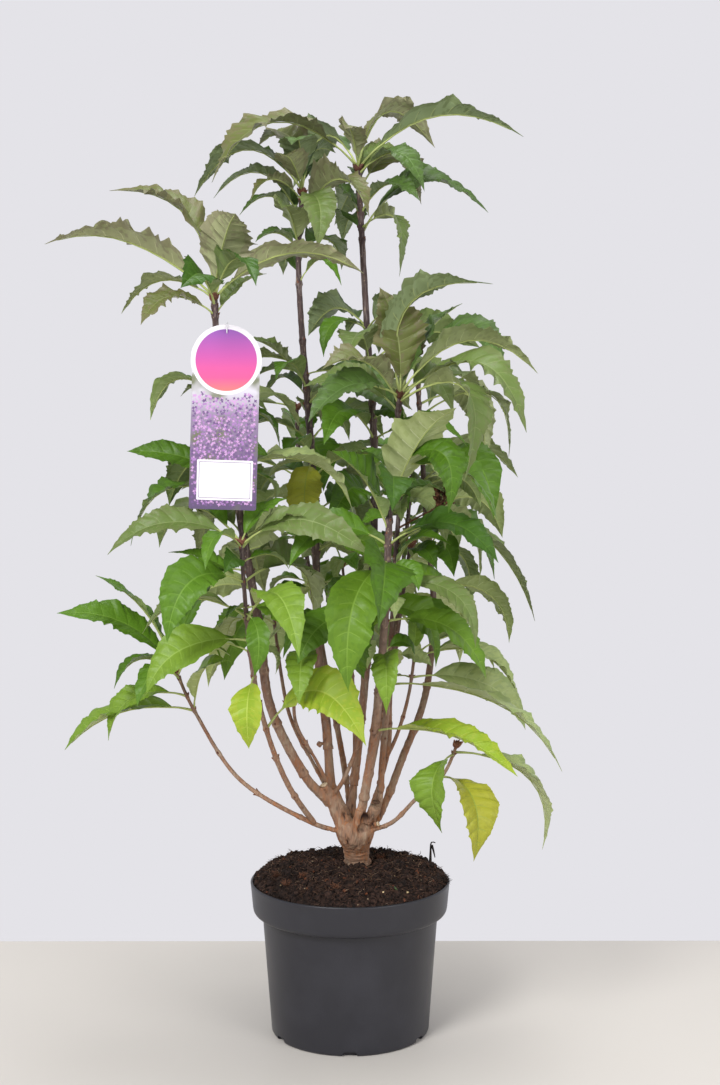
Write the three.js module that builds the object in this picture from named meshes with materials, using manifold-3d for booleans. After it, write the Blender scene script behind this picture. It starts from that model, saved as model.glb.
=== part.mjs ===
// A shrub lilac in a nursery pot: pot, soil, stump, its stems and the leaves on them.
// Millimetres, +Z up, +Y away from the front. The origin is the middle of the pot's flat underside.
import * as THREE from "three";
import { mergeVertices } from "three/addons/utils/BufferGeometryUtils.js";
import Module from "manifold-3d";

const wasm = await Module();
wasm.setup();

// Driving dimensions of the pot
const potHeight = 214;
const rimRadius = 140;
const rimBand = 44;
const shoulderRadius = 123;
const baseRadius = 111;
const footCorner = 7;
const potWall = 3;
const potFloor = 10;
const potSides = 30;
const notchCount = 6;
const notchWidth = 20;
const notchHeight = 7;
const notchDepth = 8;

// Driving dimensions of the soil and the stump
const seatGap = 0.3;
const soilGap = 0.4;
const soilEdge = 211;
const soilCrown = 231;
const stumpFoot = [10, 18, soilCrown + seatGap];
const stumpTop = [7, 0, 286];
const stumpRadii = [21, 17, 19, 26, 28, 20];
const armRadii = [17, 12, 11];

// How finely the limbs are faceted, and how far apart two stems must be to be two solids
const limbSides = 6;
const limbStep = 45;
const leafyStemSides = 5;
const leafyStemStep = 60;
const collarStep = 28;
const crotch = 190;
const limbGap = 2.5;

// Driving dimensions of the leaves
const petioleShare = 0.14;
const bladeRise = 1;
const bladeFall = 1.25;
const leafFold = 0.32;
const leafWidth = 0.33;
const leafThickness = 0.016;
const petioleRadius = 1.5;
const bladeStations = [0.16, 0.46, 0.8];
const outlineStations = [0.12, 0.36, 0.64, 0.87];
const leafSpacing = 7;
const leafClearance = 10;
const nearRoot = 60;
const pairSpacing = 66;
const pairLength = [133, 183];
const pairArch = [0.18, 0.38];
const pairWidth = [0.33, 0.4125];
const pairRise = (height) => -32 + 0.055 * (height - 400);
const riseSpread = 30;
const turnSpread = 30;
const leafRoll = 1.1;
const leafTwist = 0.9;
const leafFacing = 0.42;
const facingFades = [860, 1000];
// Radius and height: that near the pot's axis, no leaf of a pair hangs lower.
const openFoot = [[170, 500], [420, 470]];
// The turns, in degrees, and the shares of its length that a leaf of a pair tries in order
const tries = [[0, 1], [28, 1], [-28, 1], [0, 0.8], [50, 0.85], [-50, 0.85], [12, 0.62]];

// Driving dimensions of the tag
const tagWidth = 87;
const tagHead = 45.5;
const tagLength = 192;
const tagThickness = 1.2;
const tagSegments = 10;
const tagCentre = [-157, -153, 934];
const tagLean = 1.9;
const slotSize = [9, 5];
const slotRise = 34;
const strapRadius = 0.8;
const strapPlay = 0.35;
const strapSteps = 26;

// Every stem runs from the stump, or from another stem, to its top bud. Its points are
// [right, back, up], its radii those of its two ends, and its leafy stretches heights.
const stems = {
  low_left: {
    from: "stump", radii: [3.6, 2.1], leafy: [[448, 524]],
    points: [[-4, -4, 282], [-55, -20, 300], [-150, -50, 366], [-208, -66, 460], [-236, -70, 524]],
  },
  front_left: {
    from: "low_left", radii: [4.1, 2.6], leafy: [[432, 702]],
    points: [[-50, -18, 298], [-85, -66, 365], [-112, -104, 450], [-130, -128, 550], [-141, -138, 702]],
  },
  tall_left: {
    from: "stump", radii: [7, 4], leafy: [[600, 905], [985, 1018]],
    points: [[-27, 0, 325], [-62, -25, 366], [-108, -58, 470], [-122, -85, 590], [-163, -120, 857],
      [-174, -130, 1018]],
  },
  thin_left_back: {
    from: "stump", radii: [3.2, 2.1], leafy: [[480, 600]],
    points: [[-29, 6, 338], [-52, 30, 372], [-88, 60, 440], [-108, 110, 540], [-115, 130, 600]],
  },
  thin_left_front: {
    from: "stump", radii: [2.9, 2], leafy: [[470, 545]],
    points: [[-30, 2, 345], [-46, -12, 383], [-74, -45, 445], [-72, -62, 505], [-57, -72, 545]],
  },
  tall_centre_left: {
    from: "stump", radii: [7, 3.4], leafy: [[560, 950], [1040, 1175]],
    points: [[-27, 3, 335], [-33, 12, 428], [-45, 20, 540], [-50, 25, 760], [-70, 30, 1044],
      [-65, 30, 1175]],
  },
  centre_front: {
    from: "stump", radii: [3.3, 2.2], leafy: [[500, 650]],
    points: [[-24, -2, 335], [-8, -25, 362], [14, -44, 425], [18, -70, 500], [16, -108, 650]],
  },
  tall_centre: {
    from: "stump", radii: [6.2, 4], leafy: [[560, 1005], [1105, 1212]],
    points: [[0, 8, 282], [4, 22, 330], [18, 42, 455], [30, 56, 602], [35, 62, 800], [22, 62, 1030],
      [12, 60, 1212]],
  },
  centre_back: {
    from: "stump", radii: [3, 2], leafy: [[470, 650]],
    points: [[2, 22, 284], [6, 55, 335], [5, 95, 453], [-4, 120, 570], [-12, 130, 650]],
  },
  tall_front_right: {
    from: "stump", radii: [7, 3.4], leafy: [[428, 815], [862, 892]],
    points: [[8, -8, 280], [20, -36, 340], [35, -70, 445], [47, -108, 593], [54, -128, 753],
      [66, -150, 892]],
  },
  twin_right: {
    from: "stump", radii: [4.8, 3], leafy: [[600, 775]],
    points: [[22, -6, 288], [40, -18, 325], [45, -34, 393], [55, -52, 521], [62, -66, 671],
      [70, -70, 775]],
  },
  thin_right: {
    from: "stump", radii: [3.6, 2.4], leafy: [[470, 690]],
    points: [[20, 8, 288], [36, 18, 329], [54, 6, 399], [57, -10, 485], [72, -24, 610], [84, -28, 690]],
  },
  side_right: {
    from: "thin_right", radii: [2.8, 2.1], leafy: [[480, 532]],
    points: [[51, 7, 384], [68, 6, 423], [82, 0, 475], [90, -6, 532]],
  },
  tall_right: {
    from: "stump", radii: [5.8, 3], leafy: [[560, 790], [850, 938]],
    points: [[16, 0, 284], [42, 2, 306], [74, 20, 382], [108, 50, 470], [120, 80, 590], [110, 95, 715],
      [100, 100, 872], [96, 100, 938]],
  },
  low_right: {
    from: "stump", radii: [3.2, 2.1], leafy: [[362, 421]],
    points: [[18, -6, 282], [58, -24, 300], [92, -40, 338], [128, -60, 376], [146, -72, 421]],
  },
  back_left: {
    from: "stump", radii: [4.6, 2.6], leafy: [[500, 880]],
    points: [[0, 14, 284], [-8, 50, 360], [-40, 110, 520], [-70, 160, 700], [-80, 185, 880]],
  },
  back_right: {
    from: "stump", radii: [4.6, 2.6], leafy: [[460, 800]],
    points: [[14, 12, 286], [28, 48, 350], [60, 110, 500], [80, 160, 660], [95, 190, 800]],
  },
};
const arm = [[-2, 0, 284], [-18, 1, 316], [-28, 4, 342]];

// The leaves that make the crown's outline: the height of their root on the stem, how far their
// tip lies right of it, behind it and above it, and how far they arch, as a share of that length.
const outline = {
  low_left: [
    [522, -102, -10, 134, 0.1], [520, -157, -20, 82, 0.15], [515, -85, -50, -8, 0.3],
    [522, 59, 20, 133, 0.1], [514, 78, -42, 38, 0.2, 0.42], [508, -47, -90, -21, 0.3, 0.4],
    [485, -111, -30, -54, 0.25], [465, -180, 0, -56, 0.15], [465, 40, -50, 78, 0.2, 0.46],
  ],
  front_left: [
    [446, 129, -58, -14, 0.45, 0.5], [520, -4, -44, -90, 0.35, 0.42], [605, 15, -40, -80, 0.4],
    [569, -139, -56, -53, 0.15, 0.36], [600, -138, -19, -18, 0.25, 0.24], [645, -100, 10, 42, 0.1],
    [700, -175, -25, -12, 0.18, 0.22], [690, 143, -40, 30, 0.2, 0.26], [694, 160, -80, -13, 0.24, 0.26],
    [692, -45, -90, -20, 0.3], [696, 60, 20, 60, 0.15],
  ],
  tall_left: [
    [1016, -215, -20, 85, 0.11], [1018, -143, 40, 143, 0.24], [1016, 38, -95, 105, 0.1, 0.46],
    [1014, 197, 10, 38, 0.2, 0.26], [992, -94, -70, -13, 0.25, 0.4], [992, 62, 60, 62, 0.1],
    [885, -98, 20, -27, 0.4, 0.42], [775, -142, 0, 40, 0.1, 0.25], [752, -80, 60, 20, 0.1, 0.25],
    [860, 75, 40, -40, 0.3], [790, 50, 20, -70, 0.4],
  ],
  tall_centre_left: [
    [1174, -160, 70, 3, 0.35], [1170, -73, 90, 82, 0.35], [1175, 38, 80, 72, 0.2],
    [1172, -25, -120, 30, 0.15], [1160, -72, -60, -4, 0.3], [1160, 30, -80, -75, 0.35, 0.4],
    [1118, -85, -30, 21, 0.4], [1090, -22, -110, 50, 0.2, 0.4], [1046, 58, -40, -5, 0.5],
    [1046, -32, 100, 28, 0.3], [905, -85, -40, 72, 0.1], [900, -42, -100, 8, 0.3],
    [885, -67, 60, 14, 0.3], [800, -8, -60, -105, 0.3, 0.4],
  ],
  tall_centre: [
    [1208, 231, -20, 41, 0.22, 0.24], [1211, 110, 110, 45, 0.4], [1210, -202, -110, -31, 0.3],
    [1206, -20, -110, 45, 0.2], [1200, 90, -70, -31, 0.35], [1118, 180, -10, 31, 0.33],
    [1118, -75, 30, 77, 0.25], [1126, 55, -80, -75, 0.45], [1110, -30, 120, 10, 0.3],
    [985, -66, -50, -40, 0.35],
  ],
  tall_front_right: [
    [890, 115, -40, 143, 0.35, 0.4], [884, 78, 70, 130, 0.1], [888, 184, -10, 38, 0.28],
    [882, 165, -90, -35, 0.35], [876, -100, -80, 45, 0.25, 0.4], [868, -125, 30, 30, 0.2],
    [880, 90, -100, -102, 0.5, 0.36], [890, -20, 10, 140, 0.06, 0.46], [745, 80, -82, 138, 0.08, 0.42],
    [795, 77, -60, -57, 0.5, 0.4], [708, -67, -68, 111, 0.1, 0.45], [672, -46, -87, -159, 0.3, 0.34],
    [640, 128, -36, -76, 0.25, 0.22], [437, 186, -90, -40, 0.12, 0.3],
  ],
  twin_right: [[702, 120, -40, -60, 0.42, 0.36], [640, 75, -40, 60, 0.3]],
  tall_right: [
    [745, 160, -20, -175, 0.12, 0.2], [682, 60, 40, -99, 0.3], [862, 140, -20, -57, 0.45],
    [880, 90, 60, -90, 0.5],
  ],
  thin_right: [[492, 240, -110, -85, 0.12, 0.24]],
  side_right: [
    [528, 10, 30, 75, 0.1], [526, 147, -35, -46, 0.25, 0.34], [530, 118, 26, -27, 0.35, 0.26],
    [500, 175, 20, -70, 0.15, 0.28], [500, -25, 30, -60, 0.5],
  ],
  low_right: [
    [405, -21, -47, -98, 0.5, 0.5], [372, 45, -92, -96, 0.35, 0.42], [408, 134, 10, -138, 0.25],
  ],
  thin_left_front: [[543, -53, -28, 21, 0.5, 0.5]],
  centre_front: [[640, -7, -45, -124, 0.3, 0.42], [646, -38, 12, -52, 0.4, 0.5]],
};

// Small vector sums on [x, y, z]
const plus = (a, b) => [a[0] + b[0], a[1] + b[1], a[2] + b[2]];
const minus = (a, b) => [a[0] - b[0], a[1] - b[1], a[2] - b[2]];
const times = (a, k) => [a[0] * k, a[1] * k, a[2] * k];
const dot = (a, b) => a[0] * b[0] + a[1] * b[1] + a[2] * b[2];
const cross = (a, b) => [
  a[1] * b[2] - a[2] * b[1], a[2] * b[0] - a[0] * b[2], a[0] * b[1] - a[1] * b[0],
];
const size = (a) => Math.sqrt(dot(a, a));
const unit = (a) => times(a, 1 / size(a));
const mix = (a, b, k) => plus(times(a, 1 - k), times(b, k));
const radians = (degrees) => (degrees * Math.PI) / 180;

// A seeded stream of numbers from 0 to 1, the same in any language.
function seeded(seed) {
  let state = seed * 7919 + 17;
  return () => {
    state = (state * 16807) % 2147483647;
    return state / 2147483647;
  };
}

// A smooth line through a few points, as short steps with the way along it at each.
function route(points) {
  const steps = 12;
  const line = [points[0]];
  for (let i = 0; i + 1 < points.length; i++) {
    const a = points[Math.max(i - 1, 0)];
    const b = points[i];
    const c = points[i + 1];
    const d = points[Math.min(i + 2, points.length - 1)];
    for (let k = 1; k <= steps; k++) {
      const t = k / steps;
      const bend = plus(times(minus(c, a), 0.5 * t * (1 - t) * (1 - t)),
        times(minus(d, b), -0.5 * t * t * (1 - t)));
      line.push(plus(mix(b, c, t * t * (3 - 2 * t)), bend));
    }
  }
  const way = [0];
  for (let i = 1; i < line.length; i++) way.push(way[i - 1] + size(minus(line[i], line[i - 1])));
  return { line, way, length: way[way.length - 1] };
}

function placeAt(path, s) {
  let i = 1;
  while (i < path.way.length - 1 && path.way[i] < s) i++;
  const step = path.way[i] - path.way[i - 1];
  return mix(path.line[i - 1], path.line[i], (s - path.way[i - 1]) / step);
}

// How far along a path its height is first reached.
function wayToHeight(path, height) {
  let i = 1;
  while (i < path.line.length - 1 && path.line[i][2] < height) i++;
  const rise = path.line[i][2] - path.line[i - 1][2];
  const share = Math.min(1, (height - path.line[i - 1][2]) / rise);
  return path.way[i - 1] + share * (path.way[i] - path.way[i - 1]);
}

const radiusAt = (stem, s) => stem.radii[0] + (stem.radii[1] - stem.radii[0]) * (s / stem.path.length);

for (const [name, stem] of Object.entries(stems))
  Object.assign(stem, { name, path: route(stem.points) });

// Closed meshes from rings of points, as manifold solids
function solidOf(vertices, faces) {
  return new wasm.Manifold(new wasm.Mesh({
    numProp: 3,
    vertProperties: new Float32Array(vertices.flat()),
    triVerts: new Uint32Array(faces.flat()),
  }));
}

function solidFromGeometry(geometry) {
  const bare = geometry.index ? geometry.toNonIndexed() : geometry.clone();
  bare.deleteAttribute("normal");
  bare.deleteAttribute("uv");
  const merged = mergeVertices(bare, 1e-3);
  return new wasm.Manifold(new wasm.Mesh({
    numProp: 3,
    vertProperties: merged.attributes.position.array,
    triVerts: new Uint32Array(merged.index.array),
  }));
}

function geometryOf(solid) {
  const mesh = solid.getMesh();
  const positions = new Float32Array(mesh.numVert * 3);
  for (let i = 0; i < mesh.numVert; i++)
    positions.set(mesh.vertProperties.subarray(i * mesh.numProp, i * mesh.numProp + 3), i * 3);
  return new THREE.BufferGeometry()
    .setAttribute("position", new THREE.BufferAttribute(positions, 3))
    .setIndex(new THREE.BufferAttribute(new Uint32Array(mesh.triVerts), 1));
}

// Rings of equal count, joined side by side and capped with a fan at each end.
function loft(rings) {
  const count = rings[0].length;
  const faces = [];
  for (let i = 0; i + 1 < rings.length; i++)
    for (let k = 0; k < count; k++) {
      const [a, b] = [i * count + k, i * count + ((k + 1) % count)];
      faces.push([a, b, b + count], [a, b + count, a + count]);
    }
  const last = (rings.length - 1) * count;
  for (let k = 1; k + 1 < count; k++) faces.push([0, k + 1, k], [last, last + k, last + k + 1]);
  return solidOf(rings.flat(), faces);
}

// Rings across a path at the ways given, each of the radius given there.
function ringsAlong(path, ways, radii, sides) {
  let across = null;
  return ways.map((s, i) => {
    const ahead = unit(minus(placeAt(path, s + 0.5), placeAt(path, s - 0.5)));
    const start = across || (Math.abs(ahead[2]) > 0.9 ? [1, 0, 0] : [0, 0, 1]);
    across = unit(minus(start, times(ahead, dot(start, ahead))));
    const beside = cross(ahead, across);
    return Array.from({ length: sides }, (_, k) => {
      const turn = (2 * Math.PI * k) / sides;
      const out = plus(times(across, Math.cos(turn)), times(beside, Math.sin(turn)));
      return plus(placeAt(path, s), times(out, radii[i]));
    });
  });
}

function limb(stem, from, to, sides, stepLength) {
  const steps = Math.max(2, Math.ceil((to - from) / stepLength));
  const ways = Array.from({ length: steps + 1 }, (_, i) => from + ((to - from) * i) / steps);
  return loft(ringsAlong(stem.path, ways, ways.map((s) => radiusAt(stem, s)), sides));
}

// A taken point is kept in a grid of cells, so that leaves are tested only against what is near.
const taken = new Map();
const cellOf = (p) => p.map((v) => Math.floor(v / leafClearance));

function take(points, owner) {
  for (const { at, near } of points) {
    const key = cellOf(at).join();
    if (!taken.has(key)) taken.set(key, []);
    taken.get(key).push({ at, near, owner });
  }
}

function isFree(points, owner, closeKin) {
  return points.every(({ at, near }) => {
    const [i, j, k] = cellOf(at);
    for (let a = i - 1; a <= i + 1; a++)
      for (let b = j - 1; b <= j + 1; b++)
        for (let c = k - 1; c <= k + 1; c++)
          for (const other of taken.get([a, b, c].join()) || []) {
            if (other.owner === owner && (closeKin || near || other.near)) continue;
            if (size(minus(at, other.at)) < leafClearance) return false;
          }
    return true;
  });
}

// The surface of a stem as points, which leaves keep clear of. Leaves of the stem's own mass may
// touch it near their roots.
function stemPoints(stem, from, to) {
  const count = Math.max(2, Math.ceil((to - from) / leafSpacing));
  const ways = Array.from({ length: count + 1 }, (_, i) => from + ((to - from) * i) / count);
  return ringsAlong(stem.path, ways, ways.map((s) => radiusAt(stem, s)), 6)
    .flat().map((at) => ({ at, near: true }));
}

// A leaf arches from its root to its tip as one bend. It gives the middle, the way across and the
// way up at a share t of its length.
function leafFrame(leaf, t) {
  const span = minus(leaf.tip, leaf.root);
  const length = size(span);
  const along = times(span, 1 / length);
  const over = unit(minus([0, 0, 1], times(along, along[2])));
  const across = cross(along, over);
  const top = plus(mix(leaf.root, leaf.tip, 0.5), times(over, 2 * leaf.arch * length));
  const middle = mix(mix(leaf.root, top, t), mix(top, leaf.tip, t), t);
  const ahead = unit(mix(minus(top, leaf.root), minus(leaf.tip, top), t));
  const above = cross(across, ahead);
  const roll = leaf.roll + leaf.twist * t;
  const side = plus(times(across, Math.cos(roll)), times(above, Math.sin(roll)));
  return { middle, side, above: cross(side, ahead), length };
}

// Half the width of the blade, as a share of its widest, u along it: a wedge foot, a drawn-out tip.
function bladeShape(u) {
  const widest = bladeRise / (bladeRise + bladeFall);
  return Math.pow(u / widest, bladeRise) * Math.pow((1 - u) / (1 - widest), bladeFall);
}

function leafPoints(leaf) {
  const length = size(minus(leaf.tip, leaf.root)) * (1 + 2 * leaf.arch * leaf.arch);
  const rows = Math.ceil(length / leafSpacing);
  const points = [];
  for (let i = 1; i <= rows; i++) {
    const t = i / rows;
    const u = (t - petioleShare) / (1 - petioleShare);
    const frame = leafFrame(leaf, t);
    const half = u > 0 && u < 1 ? 0.5 * leaf.width * bladeShape(u) : 0;
    const columns = Math.ceil(half / leafSpacing);
    for (let k = -columns; k <= columns; k++) {
      const out = columns ? (half * k) / columns : 0;
      const lift = times(frame.above, leafFold * Math.abs(out));
      const at = plus(plus(frame.middle, times(frame.side, out)), lift);
      points.push({ at, near: size(minus(at, leaf.root)) < nearRoot });
    }
  }
  return points;
}

// The leaf as a solid: a stalk, then rings of edge, ridge, edge and keel, and a point at the tip.
function leafSolid(leaf) {
  const ring = (t, half, thickness, fold) => {
    const frame = leafFrame(leaf, t);
    const lift = times(frame.above, fold * half);
    const ridge = times(frame.above, thickness / 2);
    return [
      plus(plus(frame.middle, times(frame.side, half)), lift),
      minus(frame.middle, ridge),
      plus(minus(frame.middle, times(frame.side, half)), lift),
      plus(frame.middle, ridge),
    ];
  };
  const thickness = leafThickness * size(minus(leaf.tip, leaf.root));
  const rings = [
    ring(0, petioleRadius, 2 * petioleRadius, 0),
    ring(petioleShare, petioleRadius, thickness, 0),
  ];
  for (const u of leaf.stations) {
    const t = petioleShare + (1 - petioleShare) * u;
    rings.push(ring(t, 0.5 * leaf.width * bladeShape(u), thickness, leafFold));
  }
  const faces = [];
  for (let i = 0; i + 1 < rings.length; i++)
    for (let k = 0; k < 4; k++) {
      const [a, b] = [i * 4 + k, i * 4 + ((k + 1) % 4)];
      faces.push([a, b, b + 4], [a, b + 4, a + 4]);
    }
  const last = (rings.length - 1) * 4;
  const tip = last + 4;
  for (let k = 0; k < 4; k++) faces.push([last + k, last + ((k + 1) % 4), tip]);
  faces.push([0, 3, 1], [1, 3, 2]);
  return solidOf([...rings.flat(), leaf.tip], faces);
}

// Each mass is one leafy stretch of a stem.
const masses = [];
for (const stem of Object.values(stems))
  stem.leafy.forEach(([low, high], i) => {
    const part = stem.leafy.length === 1 ? "" : ["_middle", "_top"][i];
    const from = wayToHeight(stem.path, low) + seatGap;
    const to = wayToHeight(stem.path, high);
    const isTop = i === stem.leafy.length - 1;
    masses.push({ name: `foliage_${stem.name}${part}`, stem, low, high, from, to, isTop, leaves: [] });
  });

// Leaves turn their upper faces out to the light: those of the front half forwards, the others
// backwards. The highest ones stay as they grow.
function makeLeaf(mass, height, reach, arch, width, stations, next) {
  const root = placeAt(mass.stem.path, wayToHeight(mass.stem.path, height));
  const tip = plus(root, reach);
  const fade = (facingFades[1] - height) / (facingFades[1] - facingFades[0]);
  const facing = leafFacing * Math.min(1, Math.max(0, fade)) * (tip[1] < 40 ? 1 : -1);
  const roll = leafRoll * (next() - 0.5) - (facing * reach[0]) / size(reach);
  const twist = leafTwist * (next() - 0.5);
  return { root, tip, arch, width: width * size(reach), roll, twist, stations };
}

const leavesFootOpen = (points) => points.every(({ at, near }) =>
  near || openFoot.every(([radius, height]) => at[2] > height || Math.hypot(at[0], at[1]) > radius));

function addIfFree(mass, leaf, closeKin) {
  const points = leafPoints(leaf);
  if (!closeKin && !leavesFootOpen(points)) return false;
  if (!isFree(points, mass.name, closeKin)) return false;
  take(points, mass.name);
  mass.leaves.push(leaf);
  return true;
}

// Limbs and the tag take their places first, then the outline leaves, then the pairs between.
function growLeaves() {
  for (const stem of Object.values(stems)) {
    let from = 0;
    for (const mass of masses.filter((m) => m.stem === stem)) {
      take(stemPoints(stem, from, mass.from), "limb");
      take(stemPoints(stem, mass.from, mass.to), mass.name);
      from = mass.to;
    }
  }
  take(tagPoints(), "tag");
  masses.forEach((mass, m) => {
    const next = seeded(m + 1);
    for (const [height, right, back, up, arch, width = leafWidth] of outline[mass.stem.name] || []) {
      if (height < mass.low || height > mass.high) continue;
      addIfFree(mass, makeLeaf(mass, height, [right, back, up], arch, width, outlineStations, next), true);
    }
  });
  masses.forEach((mass, m) => growPairs(mass, seeded(m + 101)));
}

// Leaves stand in pairs, each pair turned a quarter from the last. Low ones hang and high ones
// rise. One that would touch a limb or another leaf tries a few turns and sizes, or is skipped.
function growPairs(mass, next) {
  const within = ([least, most]) => least + (most - least) * next();
  const pairs = Math.max(2, Math.round((mass.high - mass.low) / pairSpacing) + 1);
  const firstTurn = 360 * next();
  const topMargin = mass.isTop ? 5 : 20;
  for (let i = 0; i < pairs; i++) {
    const height = mass.high - topMargin - ((mass.high - mass.low - topMargin - 10) * i) / pairs;
    for (const half of [0, 180]) {
      const turn = firstTurn + 90 * i + half + turnSpread * (next() - 0.5);
      const rise = pairRise(height) + riseSpread * (next() - 0.5);
      const length = within(pairLength);
      const arch = within(pairArch);
      const width = within(pairWidth);
      for (const [spin, share] of tries) {
        const flat = length * share * Math.cos(radians(rise));
        const reach = [
          flat * Math.cos(radians(turn + spin)), flat * Math.sin(radians(turn + spin)),
          length * share * Math.sin(radians(rise)),
        ];
        const leaf = makeLeaf(mass, height, reach, arch, width, bladeStations, next);
        if (addIfFree(mass, leaf, false)) break;
      }
    }
  }
}

function massSolid(mass) {
  let solid = limb(mass.stem, mass.from, mass.to, leafyStemSides, leafyStemStep);
  for (const leaf of mass.leaves) solid = solid.add(leafSolid(leaf));
  return solid;
}

// Where a stem stands clear of every other limb, so that its own solid can start there.
function clearWay(stem) {
  let clear = 0;
  for (let s = 0; s < crotch; s += 2) {
    const at = placeAt(stem.path, s);
    for (const other of [...Object.values(stems), armStem]) {
      if (other === stem || other.from === stem.name) continue;
      for (let q = 0; q < Math.min(2 * crotch, other.path.length); q += 4)
        if (size(minus(at, placeAt(other.path, q))) < radiusAt(stem, s) + radiusAt(other, q) + limbGap)
          clear = s + 2;
    }
    if (size(minus(at, stumpTop)) < Math.max(...stumpRadii) + limbGap) clear = Math.max(clear, s + 2);
  }
  return clear;
}

const armStem = { name: "arm", radii: [armRadii[0], armRadii[2]], path: route(arm) };

function collar(stem) {
  return limb(stem, 0.6, stem.start, limbSides, collarStep);
}

function trunkSolid() {
  const path = route([stumpFoot, mix(stumpFoot, stumpTop, 0.5), stumpTop, plus(stumpTop, [0, 0, 12])]);
  const ways = [0.5, 6, 0.4 * path.length, 0.66 * path.length, 0.84 * path.length, path.length - 0.6];
  const rings = ringsAlong(path, ways, stumpRadii, 12);
  rings[0] = rings[0].map((p) => [p[0], p[1], stumpFoot[2]]);
  let solid = loft(rings);
  const armWays = [0.6, armStem.path.length / 2, armStem.path.length - 0.6];
  solid = solid.add(loft(ringsAlong(armStem.path, armWays, armRadii, 10)));
  for (const stem of Object.values(stems)) if (stem.from === "stump") solid = solid.add(collar(stem));
  return solid;
}

function boughSolid(stem, from, to) {
  let solid = limb(stem, from, to, limbSides, limbStep);
  for (const other of Object.values(stems)) if (other.from === stem.name) solid = solid.add(collar(other));
  return solid;
}

// The pot's wall from the middle of its underside, up the outside and down the inside.
function potSolid() {
  const rimFoot = potHeight - rimBand;
  const outer = [[0, 0], [baseRadius - footCorner, 0], [baseRadius - 2, 2.5], [baseRadius, footCorner],
    [shoulderRadius, rimFoot - 2], [rimRadius - 5, rimFoot], [rimRadius - 3.5, rimFoot + 2],
    [rimRadius, potHeight - 3], [rimRadius - 1, potHeight]];
  const inner = [[rimRadius - 4, potHeight], [rimRadius - 4.5, potHeight - 3],
    [rimRadius - 7.5, rimFoot + 4], [shoulderRadius - potWall, rimFoot + 1],
    [baseRadius - potWall, potFloor], [0, potFloor]];
  const profile = [...outer, ...inner].map(([x, y]) => new THREE.Vector2(x, y));
  const lathe = new THREE.LatheGeometry(profile, potSides).rotateX(Math.PI / 2);
  let solid = solidFromGeometry(lathe);
  for (let i = 0; i < notchCount; i++) {
    const box = new THREE.BoxGeometry(notchWidth, 2 * notchDepth, 2 * notchHeight);
    box.translate(0, -baseRadius, 0).rotateZ((2 * Math.PI * i) / notchCount);
    solid = solid.subtract(solidFromGeometry(box));
  }
  return solid;
}

// The soil fills the pot, rises past the rim and is flat where the stump stands.
function soilSolid() {
  const rimFoot = potHeight - rimBand;
  const filling = [[0, potFloor + soilGap], [baseRadius - potWall - soilGap - 0.2, potFloor + soilGap],
    [shoulderRadius - potWall - soilGap, rimFoot + 1],
    [rimRadius - 7.5 - soilGap, rimFoot + 4 + soilGap], [rimRadius - 4.6 - soilGap, soilEdge]];
  const mound = [[129, 221], [116, 226], [80, 229], [40, soilCrown], [0, soilCrown]];
  const points = [...filling, ...mound].map(([x, y]) => new THREE.Vector2(x, y));
  return solidFromGeometry(new THREE.LatheGeometry(points, potSides).rotateX(Math.PI / 2));
}

// The tag: a round head on a straight card, with a slot for its strap.
function tagShape() {
  const shape = new THREE.Shape();
  const half = tagWidth / 2;
  const meet = Math.asin(half / tagHead);
  const corner = 3;
  shape.absarc(0, 0, tagHead, meet - Math.PI / 2, 1.5 * Math.PI - meet, false);
  shape.lineTo(-half, -tagLength + corner);
  shape.lineTo(-half + corner, -tagLength);
  shape.lineTo(half - corner, -tagLength);
  shape.lineTo(half, -tagLength + corner);
  const slot = new THREE.Path();
  slot.absellipse(0, slotRise, slotSize[0] / 2, slotSize[1] / 2, 0, 2 * Math.PI, true);
  shape.holes.push(slot);
  return shape;
}

const onTag = (x, z) => {
  const [along, aside] = [Math.cos(radians(tagLean)), Math.sin(radians(tagLean))];
  return plus(tagCentre, [x * along + z * aside, 0, z * along - x * aside]);
};

function tagSolid() {
  const card = new THREE.ExtrudeGeometry(tagShape(), {
    depth: tagThickness, bevelEnabled: false, curveSegments: tagSegments,
  });
  card.rotateX(Math.PI / 2).translate(0, tagThickness / 2, 0).rotateY(radians(tagLean));
  return solidFromGeometry(card.translate(...tagCentre));
}

function tagPoints() {
  const points = [];
  for (let x = -tagWidth / 2; x <= tagWidth / 2; x += leafSpacing)
    for (let z = -tagLength; z <= tagHead; z += leafSpacing)
      points.push({ at: onTag(x, z), near: false });
  return points;
}

// The strap: a loop through the tag's slot, round the stem behind it and back over the tag's top.
function strapSolid() {
  const stem = stems.tall_left;
  const slot = onTag(0, slotRise + slotSize[1] / 2 - strapRadius - strapPlay);
  const top = onTag(0, tagHead + strapRadius + strapPlay);
  const behind = placeAt(stem.path, wayToHeight(stem.path, 0.5 * (slot[2] + top[2])));
  const away = unit([behind[0] - slot[0], behind[1] - slot[1], 0]);
  const beside = [away[1], -away[0], 0];
  const turn = radiusAt(stem, 0.9 * stem.path.length) + strapRadius + 2 * strapPlay;
  const proud = tagThickness / 2 + strapRadius + strapPlay;
  const places = [
    plus(slot, [0, -proud, 0]), plus(slot, [0, 3, 0]),
    plus(behind, times(beside, turn)), plus(behind, times(away, turn)),
    plus(behind, times(beside, -turn)), plus(top, [0, 3, strapPlay]), plus(top, [0, -0.3, strapPlay]),
    plus(top, [0, -proud - 0.3, -3]),
  ];
  const curve = new THREE.CatmullRomCurve3(places.map((p) => new THREE.Vector3(...p)), true);
  return solidFromGeometry(new THREE.TubeGeometry(curve, strapSteps, strapRadius, 5, true));
}

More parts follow.
